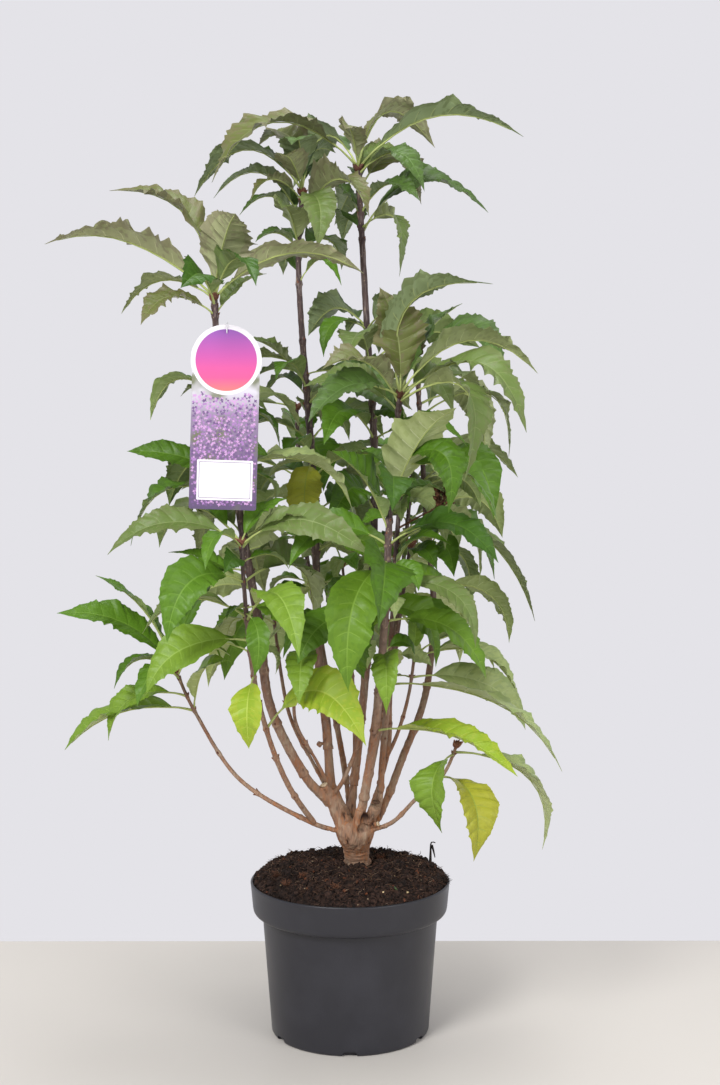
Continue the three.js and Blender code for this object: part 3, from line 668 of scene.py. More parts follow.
# For each kind of leaf: upper face near the midrib, upper face near the edge, upper vein, under
# face, under vein, and under face near the edge.
leafColours = {
    "deep": ("#4a6e18", "#446418", "#5c7e28", "#889a66", "#a3b174", "#7f9158"),
    "deep_b": ("#3e601c", "#385818", "#4f7028", "#82935c", "#9eaa70", "#788a52"),
    # The shade kind is a duller, darker green for the crown's top: partly the leaves' own colour, partly
    # painted shade
    "shade": ("#4f6a30", "#4a6030", "#647e46", "#8a9a70", "#a4b07a", "#7c8a60"),
    "mid": ("#587e22", "#52771e", "#6c9034", "#98aa6e", "#b2be86", "#8ea262"),
    "mid_b": ("#628524", "#5c7f22", "#779838", "#a2b174", "#bac58c", "#99a868"),
    "fresh": ("#74932f", "#6e8d2d", "#88a546", "#acb978", "#c5cd98", "#a4b26c"),
    "lime": ("#8fa930", "#99ac34", "#a8bc4c", "#b3c068", "#cbd586", "#aebb60"),
    "yellow": ("#9fa134", "#989a32", "#8f9c3e", "#b6b44e", "#9ca44e", "#acaa4a"),
    "pale": ("#99a76a", "#8d9d64", "#a6b27c", "#b2bd84", "#ced4a8", "#aab67a"),
    "olive": ("#667a3e", "#6a7844", "#7c8c54", "#9aa472", "#b6be8a", "#8f986a"),
    "bronze": ("#636a38", "#6a6844", "#7c8450", "#a0a47a", "#bcc092", "#929070"),
}
stalkColour = "#aab56f"
# How the leaves of the growth rule take their kinds: the height that their roots stay under, then
# kinds and shares.
kindsByHeight = (
    (470, (("fresh", 0.35), ("lime", 0.25), ("mid_b", 0.25), ("pale", 0.15))),
    (640, (("mid", 0.25), ("mid_b", 0.25), ("fresh", 0.15), ("deep", 0.2), ("pale", 0.15))),
    (860, (("deep", 0.25), ("mid", 0.25), ("mid_b", 0.1), ("deep_b", 0.1), ("olive", 0.15),
           ("pale", 0.15))),
    # The top zones deal out the shade kind, which is partly painted shade
    (1060, (("shade", 0.45), ("deep_b", 0.2), ("olive", 0.35))),
    (2000, (("shade", 0.4), ("bronze", 0.35), ("olive", 0.25))),
)
# How far the edge of each kind ripples, and how ragged its teeth are
ripples = {
    "deep": 0.8, "deep_b": 0.85, "shade": 0.85, "mid": 0.65, "mid_b": 0.65, "fresh": 0.55, "lime": 0.6,
    "yellow": 0.5, "pale": 0.8, "olive": 0.95, "bronze": 1.0,
}
ragged = {
    "deep": 0.7, "deep_b": 0.75, "shade": 0.95, "mid": 0.6, "mid_b": 0.55, "fresh": 0.5, "lime": 0.5,
    "yellow": 0.5, "pale": 0.6, "olive": 1.0, "bronze": 1.15,
}

leafMaterials = []
leafSlots = {}
for kind, colours in leafColours.items():
    leafSlots[kind] = []
    for place, colour in zip(("inner", "outer", "vein", "under", "under_vein", "under_outer"), colours):
        leafSlots[kind].append(len(leafMaterials))
        leafMaterials.append(leafMaterial(f"leaf_{kind}_{place}", colour, "vein" in place))
leafSlots["stalk"] = len(leafMaterials)
leafMaterials.append(leafMaterial("leaf_stalk", stalkColour, True))
print("leaf materials:", len(leafMaterials))


def kindOf(leaf, draw):
    if "colour" in leaf:
        return leaf["colour"]
    shares = next(kinds for top, kinds in kindsByHeight if leaf["height"] < top)
    pick = draw()
    for kind, share in shares:
        pick -= share
        if pick <= 0:
            return kind
    return shares[-1][0]


# One leaf's blade as a net: rows follow the side veins, which leave the midrib forwards, and columns
# run along the leaf. Two rows stand close together at each vein, with more rows between veins. A
# tooth stands at each vein's end, and a smaller one between, where the net's teeth say -1. Small leaves
# get a coarser net. Mottled faces take the slot that "mottled" gives in place of their own.
blade = {
    "firstVein": 0.045, "lastVein": 0.85, "veinHalf": 0.0026, "lastRows": (0.93, 0.965, 0.988),
    "fineNet": {"veins": 8, "between": 5, "teeth": (0.55, 0.1, -1, 0.1, 0.35),
                "columns": (0.034, 0.19, 0.36, 0.53, 0.7, 0.86, 1.0)},
    "coarseNet": {"veins": 7, "between": 3, "teeth": (0.5, -1, 0.3),
                  "columns": (0.045, 0.28, 0.55, 0.8, 1.0)},
    "coarseBelow": 105, "slant": 0.6, "slantPower": 1.3, "slantEnd": 1.6, "veinShift": 0.011,
    "veinReach": 0.5, "outerFrom": 0.62, "outerEnd": 0.86, "mottle": 0.16, "mottled": (1, 0, 2, 5, 4, 3),
    "thickness": 0.55, "edgeThinner": 0.6, "quilt": 0.9, "veinSink": 0.3, "reliefFullAt": 16,
    "crumple": 1.7, "crumpleSize": 14, "crumpleWaves": (1.9, 2.7, 3.7, 1.3), "pucker": 0.5,
    "foldSpread": 0.16, "flatten": 0.35, "ripple": (-0.14, 0.3), "ripplePower": 1.8,
    "swing": (0.05, 0.2), "swings": (0.9, 1.9), "lobe": 0.1,
    "veinTooth": (0.03, 0.2), "smallTooth": (0.0, 0.07), "toothLean": 0.3, "toothCurl": (-0.06, 0.16),
    "notch": 0.015, "toothPower": 4, "lastPlace": 0.995,
    "hook": (0.0, 0.1), "sway": 0.06, "hookFrom": 0.55, "hookOver": 0.45,
    "stalkSides": 6, "stalkRings": 12, "stalkRadii": (2.1, 1.4, 0.42), "stalkEnd": 0.93,
    "stalkFullAt": 150,
}


def bladeNet(look):
    rows, beats, bulges, teeth = [], [], [], []
    veins = np.linspace(blade["firstVein"], blade["lastVein"], look["veins"])
    gap = look["between"] + 1
    for i, at in enumerate(veins):
        after = veins[i + 1] if i + 1 < len(veins) else blade["lastRows"][0]
        for k in range(-1, gap):
            rows.append(at + (after - at) * k / gap if k > 0 else at + (2 * k + 1) * blade["veinHalf"])
            beats.append(i)
            bulges.append(math.sin(math.pi * k / gap) if k > 0 else -blade["veinSink"])
            teeth.append(look["teeth"][k - 1] if k > 0 else 1)
    rows += blade["lastRows"]
    beats += [look["veins"] - 1] * len(blade["lastRows"])
    bulges += [0] * len(blade["lastRows"])
    teeth += [0] * len(blade["lastRows"])
    half = np.array(look["columns"])
    columns = np.concatenate([-half[::-1], [0.0], half])
    rowCount, columnCount = len(rows), len(columns)
    top = 2 + np.arange(rowCount * columnCount).reshape(rowCount, columnCount)
    under = top.copy()
    under[:, 1:-1] = 2 + rowCount * columnCount + np.arange(rowCount * (columnCount - 2)).reshape(
        rowCount, columnCount - 2)
    corners, counts, codes = [], [], []

    def codeOf(k, at, isVein, isUnder):
        centre = abs(0.5 * (columns[k] + columns[k + 1]))
        if centre < half[0] or (isVein and centre < blade["veinReach"]):
            return 4 if isUnder else 2
        isOuter = centre > blade["outerFrom"] or at > blade["outerEnd"]
        return (5 if isUnder else 1) if isOuter else (3 if isUnder else 0)

    for k in range(columnCount - 1):
        corners += [0, top[0, k + 1], top[0, k], 1, top[-1, k], top[-1, k + 1]]
        corners += [0, under[0, k], under[0, k + 1], 1, under[-1, k + 1], under[-1, k]]
        counts += [3, 3, 3, 3]
        codes += [codeOf(k, 0, False, False), codeOf(k, 1, False, False)]
        codes += [codeOf(k, 0, False, True), codeOf(k, 1, False, True)]
        for i in range(rowCount - 1):
            isVein = rows[i + 1] - rows[i] < 2.1 * blade["veinHalf"]
            corners += [top[i, k], top[i, k + 1], top[i + 1, k + 1], top[i + 1, k]]
            corners += [under[i, k], under[i + 1, k], under[i + 1, k + 1], under[i, k + 1]]
            counts += [4, 4]
            codes += [codeOf(k, rows[i], isVein, False), codeOf(k, rows[i], isVein, True)]
    creases = np.zeros(2 + rowCount * columnCount + rowCount * (columnCount - 2), int)
    creases[:2] = 3
    creases[top[:, 0]] = 1
    creases[top[:, -1]] = 2
    return {"veins": look["veins"], "rows": np.array(rows), "columns": columns,
            "bulge": np.array(bulges)[:, None], "beat": np.array(beats), "teeth": np.array(teeth),
            "corners": np.array(corners), "counts": np.array(counts), "codes": np.array(codes),
            "creases": creases}


def units(a):
    return a / np.linalg.norm(a, axis=-1, keepdims=True)


# The same bend as leafFrame, for whole arrays of t, with the hook and sway of the tip added.
def leafFrames(leaf, t, look):
    root, tip = np.array(leaf["root"]), np.array(leaf["tip"])
    span = tip - root
    length = np.linalg.norm(span)
    along = span / length
    over = units(np.array([0, 0, 1]) - along * along[2])
    across = np.cross(along, over)
    top = 0.5 * (root + tip) + over * 2 * leaf["arch"] * length
    t = t[..., None]
    middle = (1 - t) ** 2 * root + 2 * t * (1 - t) * top + t * t * tip
    ahead = units((1 - t) * (top - root) + t * (tip - top))
    above = np.cross(across, ahead)
    roll = leaf["roll"] + leaf["twist"] * t
    side = across * np.cos(roll) + above * np.sin(roll)
    above = np.cross(side, ahead)
    late = np.clip((t - blade["hookFrom"]) / blade["hookOver"], 0, 1) ** 2
    middle = middle - above * late * look["hook"] * length + side * late * look["sway"] * length
    return middle, side, above


def addLeaf(stock, leaf, nets, draw):
    def within(limits, *shape):
        return limits[0] + (limits[1] - limits[0]) * draws(*shape)

    def draws(*shape):
        return np.array([draw() for i in range(math.prod(shape))]).reshape(shape) if shape else draw()

    kind = kindOf(leaf, draw)
    length = size(minus(leaf["tip"], leaf["root"]))
    net = nets[1 if length < blade["coarseBelow"] else 0]
    veins, rows = net["veins"], len(net["rows"])
    look = {"hook": within(blade["hook"]), "sway": blade["sway"] * (2 * draw() - 1)}
    fold = rule["leafFold"] + blade["foldSpread"] * (2 * draw() - 1)
    ripple = within(blade["ripple"], 2, veins)
    veinTeeth, smallTeeth = within(blade["veinTooth"], 2, veins), within(blade["smallTooth"], 2, rows)
    curls, lobes = within(blade["toothCurl"], 2, veins), blade["lobe"] * (2 * draws(2, 2 * veins) - 1)
    shifts = blade["veinShift"] * (2 * draws(2, veins) - 1)
    phases, waves = fullTurn * draws(8), fullTurn * draws(4)

    # What differs between the two sides of the midrib, row by row
    r, w = net["rows"][:, None], net["columns"][None, :]
    side = np.broadcast_to((w > 0) * 1, (rows, len(net["columns"])))
    row = np.broadcast_to(np.arange(rows)[:, None], side.shape)
    beat = net["beat"][row]
    edge = np.abs(w)
    places = np.linspace(blade["firstVein"], blade["lastVein"], veins)
    shifted = np.array([net["rows"] + np.interp(net["rows"], places, shift) for shift in shifts])
    lobed = np.array([np.interp(net["rows"], np.linspace(0, 1, 2 * veins), lobe) for lobe in lobes])
    rough = ragged[kind]
    shape = net["teeth"][row]
    large = shape * veinTeeth[side, beat] - blade["notch"]
    tooth = np.where(shape < 0, smallTeeth[side, row], large) * rough
    r = r + (shifted[side, row] - r) * edge
    s = r + blade["slant"] * r * (1 - r) ** blade["slantEnd"] * edge ** blade["slantPower"]
    half = 0.5 * leaf["width"] * bladeShape(s)
    lean = blade["toothLean"] * np.maximum(tooth, 0) * half / length * edge ** blade["toothPower"]
    s = np.minimum(s + lean, blade["lastPlace"])
    t = rule["petioleShare"] + (1 - rule["petioleShare"]) * s
    middle, across, above = leafFrames(leaf, t, look)
    out = w * half * (1 + lobed[side, row] * edge + tooth * edge ** blade["toothPower"])

    # How far each point stands off the plain bent blade: fold, swing, ripples, quilting, creases and
    # puckers
    lift = fold * (1.3 - 0.6 * s) * np.abs(out) * (1 - blade["flatten"] * edge ** 2)
    swing = within(blade["swing"]) * np.sin(2 * math.pi * within(blade["swings"]) * s + phases[side])
    wave = ripples[kind] * ripple[side, beat] * net["bulge"]
    curl = rough * curls[side, beat] * np.abs(shape) * edge ** 3
    lift = lift + (swing + wave + curl) * half * edge ** blade["ripplePower"]
    small = np.minimum(1, half / blade["reliefFullAt"])
    lift = lift + blade["quilt"] * small * net["bulge"] * 4 * edge * (1 - edge)
    x, y = out / blade["crumpleSize"], s * length / blade["crumpleSize"]
    creased = sum(np.sin(x * math.cos(a) * b + y * math.sin(a) * b + c)
                  for a, b, c in zip(waves, blade["crumpleWaves"], phases[2:]))
    lift = lift + 0.25 * blade["crumple"] * rough * small * creased * np.minimum(1, 4 * edge)
    puckers = (2 * draws(*side.shape) - 1) * (net["bulge"] >= 0) * (edge > 0.1) * (1 - edge ** 6)
    lift = lift + blade["pucker"] * small * puckers
    upper = middle + across * out[..., None] + above * lift[..., None]
    skin = blade["thickness"] * (1 - blade["edgeThinner"] * edge)
    square = np.cross(np.gradient(upper, axis=0), np.gradient(upper, axis=1))
    square = square / np.maximum(np.linalg.norm(square, axis=-1, keepdims=True), 1e-9)
    square = square * np.sign(np.sum(square * above, axis=-1, keepdims=True))
    lower = upper - square * skin[..., None]
    ends, _, _ = leafFrames(leaf, np.array([rule["petioleShare"], 1.0]), look)
    points = np.concatenate([ends, upper.reshape(-1, 3), lower[:, 1:-1].reshape(-1, 3)])
    turned = np.array(blade["mottled"])[net["codes"]]
    codes = np.where(draws(len(turned)) < blade["mottle"], turned, net["codes"])
    slots = np.array(leafSlots[kind])[codes]
    addPart(stock, points, net["corners"], net["counts"], slots, net["creases"])

    # The stalk, and the midrib that it runs out into under the blade
    sides, rings = blade["stalkSides"], blade["stalkRings"]
    t = np.concatenate([[0.0, 0.05, 0.1], np.linspace(rule["petioleShare"], blade["stalkEnd"], rings - 3)])
    middle, side, above = leafFrames(leaf, t, look)
    thick, thin, end = blade["stalkRadii"]
    share = min(1.0, 0.45 + 0.55 * length / blade["stalkFullAt"])
    places = [0, 0.1, rule["petioleShare"], blade["stalkEnd"]]
    radii = share * np.interp(t, places, [thick, thin, thin, end])
    sink = np.interp(t, [0.1, 0.2], [0, 0.9]) * radii + np.interp(t, [0.1, 0.2], [0, 0.3])
    turn = 2 * math.pi * np.arange(sides) / sides
    ring = (side[:, None] * np.cos(turn)[None, :, None] - above[:, None] * np.sin(turn)[None, :, None])
    points = (middle - above * sink[:, None])[:, None] + ring * radii[:, None, None]
    points, corners, counts = tubePart(points, sides)
    addPart(stock, points, corners, counts, leafSlots["stalk"])


leafGroups = {
    "leaves_left": ("tall_left", "thin_left_back", "thin_left_front"),
    "leaves_low_left": ("low_left", "front_left"),
    "leaves_centre": ("tall_centre_left", "centre_front", "centre_back"),
    "leaves_top": ("tall_centre",),
    "leaves_back": ("back_left", "back_right"),
    "leaves_right": ("tall_front_right", "twin_right"),
    "leaves_far_right": ("thin_right", "side_right", "tall_right", "low_right"),
}


def buildLeaves():
    nets = [bladeNet(blade["fineNet"]), bladeNet(blade["coarseNet"])]
    for g, (name, stemNames) in enumerate(leafGroups.items()):
        stock = newStock()
        draw = seeded(701 + g)
        own = [mass for mass in masses if mass["stem"]["name"] in stemNames]
        for mass in own:
            for leaf in mass["leaves"]:
                addLeaf(stock, leaf, nets, draw)
        piece = makeMesh(name, stock, leafMaterials)
        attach(piece, "root")
        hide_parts(*[mass["name"] for mass in own])
        triangles = sum(len(p.vertices) - 2 for p in piece.data.polygons)
        print(name, sum(len(mass["leaves"]) for mass in own), "leaves,", triangles, "triangles")


buildLeaves()


# Bark of a young lilac: thin cork, grey-brown with orange-brown patches low down and purple-brown
# higher up, with grey streaks that are partly painted sheen, in fine ridges along the stem, with pale
# pores about 1 mm across. Its hollows are painted dark as shade and its crests pale as highlight.
barkLook = {
    "low": "#957560", "lowWarm": "#aa7048", "lowGrey": "#a08b77", "shadedHollow": "#35201a", "crestHighlight": "#c4a98f",
    "high": "#5c4a47", "highDark": "#443637", "highGreyAndSheen": "#80726f", "pore": "#a08c74",
    "turnsAt": 0.5, "turnsOver": 0.3, "patchesPerMetre": 55, "ridgesPerMetre": 420, "poresPerMetre": 240,
    "ridgeHeight": 0.0008,
}


def barkMaterial():
    made, tree, shader = newMaterial("lilac_bark", **{
        "Base Color": linear(barkLook["low"]), "Roughness": 0.66, "Specular IOR Level": 0.3,
    })
    look = {name: linear(value) for name, value in barkLook.items() if isinstance(value, str)}

    def blend(amount, a, b):
        return addNode(tree, "ShaderNodeMix", {0: amount, 6: a, 7: b}, data_type="RGBA").outputs[2]

    def spread(value, low, high):
        node = addNode(tree, "ShaderNodeMapRange", {"Value": value, "From Min": low, "From Max": high})
        return node.outputs["Result"]

    places = objectPlaces(tree)
    lengthways = objectPlaces(tree, (1, 1, 0.12))
    patches = addNode(tree, "ShaderNodeTexNoise",
                      {"Vector": objectPlaces(tree, (1, 1, 0.4)), "Scale": barkLook["patchesPerMetre"],
                       "Detail": 5}).outputs["Fac"]
    streaks = addNode(tree, "ShaderNodeTexNoise",
                      {"Vector": lengthways, "Scale": barkLook["ridgesPerMetre"],
                       "Detail": 4}).outputs["Fac"]
    low = blend(spread(patches, 0.4, 0.6), look["lowGrey"], look["lowWarm"])
    low = blend(spread(streaks, 0.38, 0.62), low, look["low"])
    high = blend(spread(patches, 0.4, 0.6), look["highDark"], look["high"])
    # Grey streaks on the upper stems: partly the bark's own grey, partly painted sheen
    high = blend(spread(streaks, 0.5, 0.72), high, look["highGreyAndSheen"])
    height = addNode(tree, "ShaderNodeSeparateXYZ", {"Vector": places}).outputs["Z"]
    uneven = addNode(tree, "ShaderNodeMath", {0: patches, 1: 0.3, 2: height}, operation="MULTIPLY_ADD")
    turned = spread(uneven.outputs[0], barkLook["turnsAt"], barkLook["turnsAt"] + barkLook["turnsOver"])
    colour = blend(turned, low, high)
    pores = addNode(tree, "ShaderNodeTexVoronoi",
                    {"Vector": objectPlaces(tree, (1, 1, 0.6)), "Scale": barkLook["poresPerMetre"]})
    colour = blend(spread(pores.outputs["Distance"], 0.17, 0.1), colour, look["pore"])
    relief = addNode(tree, "ShaderNodeAttribute", attribute_name="relief").outputs["Fac"]
    # Painted highlight on the relief's crests, painted shade in its hollows
    colour = blend(spread(relief, 0.62, 1.15), colour, look["crestHighlight"])
    colour = blend(spread(relief, 0.42, 0.0), colour, look["shadedHollow"])
    tree.links.new(colour, shader.inputs["Base Color"])
    ridge = addNode(tree, "ShaderNodeBump",
                    {"Height": streaks, "Strength": 0.6, "Distance": barkLook["ridgeHeight"]})
    tree.links.new(ridge.outputs["Normal"], shader.inputs["Normal"])
    return made


bark = barkMaterial()

# Stems: rings every few millimetres, with a swollen node wherever a pair of leaves stands or stood.
stemLook = {
    "step": 3.5, "sides": 12, "bareNodeEvery": 78, "nodeSwell": 0.36, "nodeHalf": 3.0, "scarDark": 0.3,
    "scarHalf": 1.6, "ridge": 0.045, "meetsStumpAt": 62, "lowStems": ("low_left", "low_right"),
    "lowMeetsAt": 31, "tipTaper": 9, "nodesApart": 11, "bareApart": 34, "firstBare": (60, 20), "bareEnd": 20,
}


def nodeWays(stem):
    ways = sorted(wayToHeight(stem["path"], leaf["height"])
                  for mass in masses if mass["stem"] is stem for leaf in mass["leaves"])
    kept = []
    for s in ways:
        if not kept or s - kept[-1] > stemLook["nodesApart"]:
            kept.append(s)
    draw = seeded(len(stem["name"]) + int(stem["path"]["length"]))
    s = stemLook["firstBare"][0] + stemLook["firstBare"][1] * draw()
    bare = []
    while s < stem["path"]["length"] - stemLook["bareEnd"]:
        if all(abs(s - k) > stemLook["bareApart"] for k in kept):
            bare.append(s)
        s += stemLook["bareNodeEvery"] * (0.8 + 0.4 * draw())
    return sorted(kept + bare)


def roughAt(p):
    return (noise.noise(Vector((p[0] * 0.9, p[1] * 0.9, p[2] * 0.09)))
            + 0.6 * noise.noise(Vector((p[0] * 0.3, p[1] * 0.3, p[2] * 0.05))))


def stemPart(stem, start, end, swollen):
    path = stem["path"]
    ways = np.append(np.arange(start, end, stemLook["step"]), end)
    swell, scar = np.zeros(len(ways)), np.zeros(len(ways))
    for s in swollen:
        swell = np.maximum(swell, np.exp(-((ways - s) / stemLook["nodeHalf"]) ** 2))
        scar = np.maximum(scar, np.exp(-((ways - s - 1) / stemLook["scarHalf"]) ** 2))
    radii = np.array([radiusAt(stem, s) for s in ways])
    if end > path["length"] - 1:
        radii = radii * np.clip((end - ways) / stemLook["tipTaper"] + 0.35, 0.35, 1) ** 0.5
    radii = radii + swell * stemLook["nodeSwell"] * np.minimum(radii, 4)
    sides = stemLook["sides"]
    rings = np.array(ringsAlong(path, ways, radii, sides)).reshape(len(ways), sides, 3)
    centres = rings.mean(1, keepdims=True)
    rough = np.array([[roughAt(p) for p in ring] for ring in rings])
    rings = centres + (rings - centres) * (1 + 2 * stemLook["ridge"] * rough)[..., None]
    # Ridges and swollen nodes raise the relief for painted highlight, furrows lower it for painted shade
    relief = 0.5 + 0.45 * rough + 0.2 * swell[:, None] - stemLook["scarDark"] * scar[:, None]
    return *tubePart(rings, sides), np.append(relief.ravel(), [0.5, 0.5])


def buildStems():
    stock = newStock()
    for stem in stems.values():
        start = stemLook["meetsStumpAt"] if stem["from"] == "stump" else 1
        if stem["name"] in stemLook["lowStems"]:
            start = stemLook["lowMeetsAt"]
        points, corners, counts, relief = stemPart(stem, start, stem["path"]["length"], nodeWays(stem))
        addPart(stock, points, corners, counts, 0, relief=relief)
    piece = makeMesh("wood_stems", stock, [bark])
    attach(piece, "root")
    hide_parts(*[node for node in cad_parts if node.startswith("bough_")])
    print("stems:", len(piece.data.polygons), "faces")


buildStems()


def settle(piece):
    graph = bpy.context.evaluated_depsgraph_get()
    mesh = bpy.data.meshes.new_from_object(piece.evaluated_get(graph), depsgraph=graph)
    piece.modifiers.clear()
    piece.data = mesh


# The stump is one skin over its fork, the arm and the feet of the stems, with its cut stubs. Old
# wood has grown over it in ridges, with wrinkles round its foot and hollows between stems, which are
# painted dark as shade.
stumpLook = {
    "voxel": 0.0013, "smoothing": 5, "stemFoot": 76, "relief": 1.3,
    "stubs": (
        ((-26, -3, 334), (-36, -15, 351), 6.2, 5.6),
        ((20, -8, 291), (38.5, -21, 297.5), 5.0, 3.7),
        ((24, -16, 298), (36, -28, 324), 7.5, 7.5),
        ((4, -16, 268), (14, -34, 322), 8.0, 6.0),
        ((-40, 10, 402), (-46, 8, 406), 4.5, 3.5),
    ),
    "hollows": (
        ((22, -30, 308), 7, 5.5),
        ((15, -27, 292), 6, 5),
        ((8, 0, 300), 6, 5),
        ((-8, -14, 312), 5, 3),
    ),
    "cuts": (
        ((-36.6, -15.6, 352), (-0.35, -0.3, 0.88), 5.4, "pale"),
        ((39.6, -21.8, 297.8), (0.8, -0.55, 0.25), 3.6, "pale"),
        ((36.6, -28.8, 331), (0.1, -0.25, 0.95), 5.6, "dark"),
    ),
    "reliefEnds": 378, "reliefFade": 60, "wrinkledBelow": 268, "wrinkleFade": 26,
    "cutSteps": ((-2.5, 0.8), (-0.6, 1), (0.4, 0.96), (0.7, 0.8), (0.35, 0.4)), "cutSides": 16,
}


def capsule(start, end, thick, thin, sides=14):
    path = route((start, end))
    shares = (0.04, 0.25, 0.5, 0.75, 0.96)
    sizes = [thick + (thin - thick) * w for w in shares]
    return tubePart(ringsAlong(path, [w * path["length"] for w in shares], sizes, sides), sides)


def stumpStock():
    stock = newStock()
    foot, top = rule["stumpFoot"], rule["stumpTop"]
    path = route((foot, mix(foot, top, 0.5), top, plus(top, (0, 0, 12))))
    length, count = path["length"], 24
    places = [0.5, 6, 0.4 * length, 0.66 * length, 0.84 * length, length - 0.6]
    shares = np.linspace(0, 5, count)
    ways = np.interp(shares, range(6), places)
    radii = [np.interp(s, range(6), rule["stumpRadii"]) for s in shares]
    rings = np.array(ringsAlong(path, ways, radii, 24)).reshape(count, 24, 3)
    rings[0, :, 2] = foot[2]
    addPart(stock, *tubePart(rings, 24), 0)
    armPath = route(rule["arm"])
    ways = np.linspace(0.6, armPath["length"] - 0.6, 8)
    radii = np.interp(ways, [0, armPath["length"] / 2, armPath["length"]], rule["armRadii"])
    addPart(stock, *tubePart(ringsAlong(armPath, ways, radii, 16), 16), 0)
    for stem in stems.values():
        if stem["from"] == "stump":
            ways = np.linspace(0.6, stumpLook["stemFoot"], 24)
            radii = [radiusAt(stem, s) * (1 + 0.5 * math.exp(-s / 14) - 0.0014 * s) for s in ways]
            addPart(stock, *tubePart(ringsAlong(stem["path"], ways, radii, 12), 12), 0)
    for start, end, thick, thin in stumpLook["stubs"]:
        addPart(stock, *capsule(start, end, thick, thin), 0)
    return stock


def weather(mesh):
    count = len(mesh.vertices)
    places, normals = np.zeros(3 * count, np.float32), np.zeros(3 * count, np.float32)
    mesh.vertices.foreach_get("co", places)
    mesh.vertex_normals.foreach_get("vector", normals)
    places, normals = places.reshape(-1, 3), normals.reshape(-1, 3)
    relief = np.zeros(count)
    for i in range(count):
        x, y, z = (float(v) / mm for v in places[i])
        fade = min(1.0, max(0.0, (stumpLook["reliefEnds"] - z) / stumpLook["reliefFade"]))
        low = max(0.0, min(1.0, (stumpLook["wrinkledBelow"] - z) / stumpLook["wrinkleFade"]))
        grain = noise.noise(Vector((x * 0.17, y * 0.17, z * 0.045)))
        strands = noise.noise(Vector((x * 0.55, y * 0.55, z * 0.09)))
        wrinkles = noise.noise(Vector((x * 0.09, y * 0.09, z * 0.5)))
        rough = (grain + 0.7 * strands) * (1 - 0.5 * low) + 0.9 * wrinkles * low
        shadedHollow = 0
        for centre, radius, depth in stumpLook["hollows"]:
            away = size(minus((x, y, z), centre)) / radius
            shadedHollow = max(shadedHollow, depth * math.exp(-away * away))
        places[i] += normals[i] * (stumpLook["relief"] * rough * fade - shadedHollow) * mm
        # Relief falls in the dents, for the bark's painted shade there
        relief[i] = 0.5 + 0.5 * rough * (0.4 + 0.6 * fade) - 0.14 * shadedHollow
    places[:, 2] = np.maximum(places[:, 2], rule["stumpFoot"][2] * mm)
    mesh.vertices.foreach_set("co", places.ravel())
    mesh.polygons.foreach_set("use_smooth", np.ones(len(mesh.polygons), bool))
    setRelief(mesh, relief)
    mesh.update()


def buildStump():
    piece = makeMesh("wood_stump", stumpStock(), [bark])
    remesh = piece.modifiers.new("skin", "REMESH")
    remesh.mode, remesh.voxel_size = "VOXEL", stumpLook["voxel"]
    smooth = piece.modifiers.new("smooth", "SMOOTH")
    smooth.factor, smooth.iterations = 0.5, stumpLook["smoothing"]
    settle(piece)
    weather(piece.data)
    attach(piece, "root")
    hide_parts("trunk")
    print("stump:", len(piece.data.polygons), "faces")


buildStump()


# Where stems were pruned: a dished disc of cut wood with faint streaks, pale when fresh
def cutMaterial(name, pale, ring):
    made, tree, shader = newMaterial(name, **{
        "Base Color": linear(pale), "Roughness": 0.75, "Specular IOR Level": 0.25})
    rings = addNode(tree, "ShaderNodeTexNoise", {"Vector": objectPlaces(tree), "Scale": 700, "Detail": 3})
    share = addNode(tree, "ShaderNodeMapRange",
                    {"Value": rings.outputs["Fac"], "From Min": 0.4, "From Max": 0.65})
    colour = addNode(tree, "ShaderNodeMix", {0: share.outputs["Result"], 6: linear(pale), 7: linear(ring)},
                     data_type="RGBA")
    tree.links.new(colour.outputs[2], shader.inputs["Base Color"])
    return made


def buildCuts():
    stock = newStock()
    for centre, facing, radius, tone in stumpLook["cuts"]:
        facing = unit(facing)
        across = unit(cross(facing, (0, 1, 0)))
        beside = cross(facing, across)
        rings, sides = [], stumpLook["cutSides"]
        for depth, share in stumpLook["cutSteps"]:
            for k in range(sides):
                a = 2 * math.pi * k / sides
                out = plus(times(across, math.cos(a)), times(beside, 0.72 * math.sin(a)))
                rings.append(plus(plus(centre, times(facing, depth)), times(out, radius * share)))
        addPart(stock, *tubePart(rings, sides), 0 if tone == "pale" else 1)
    piece = makeMesh("wood_cuts", stock, [cutMaterial("cut_wood_fresh", "#d9c8ac", "#b09474"),
                                          cutMaterial("cut_wood_old", "#6b5344", "#4c3a30")])
    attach(piece, "root")


buildCuts()


# Pot: blow-moulded polypropylene, dark grey and satin, with a rolled lip and a soft step under its
# deep rim band. Fine scuffs and dust make its sheen uneven.
potLook = {
    "height": 214, "rim": 140, "band": 44, "shoulder": 123, "base": 111, "wall": 3, "floor": 10,
    "sides": 160, "notches": 6, "notchWidth": 20, "notchHeight": 7, "notchDepth": 8,
    "colour": "#28282e", "dust": "#424249",
}


def arc(centre, radius, start, end, steps):
    turns = [math.radians(start + (end - start) * i / steps) for i in range(steps + 1)]
    return [(centre[0] + radius * math.cos(a), centre[1] + radius * math.sin(a)) for a in turns]


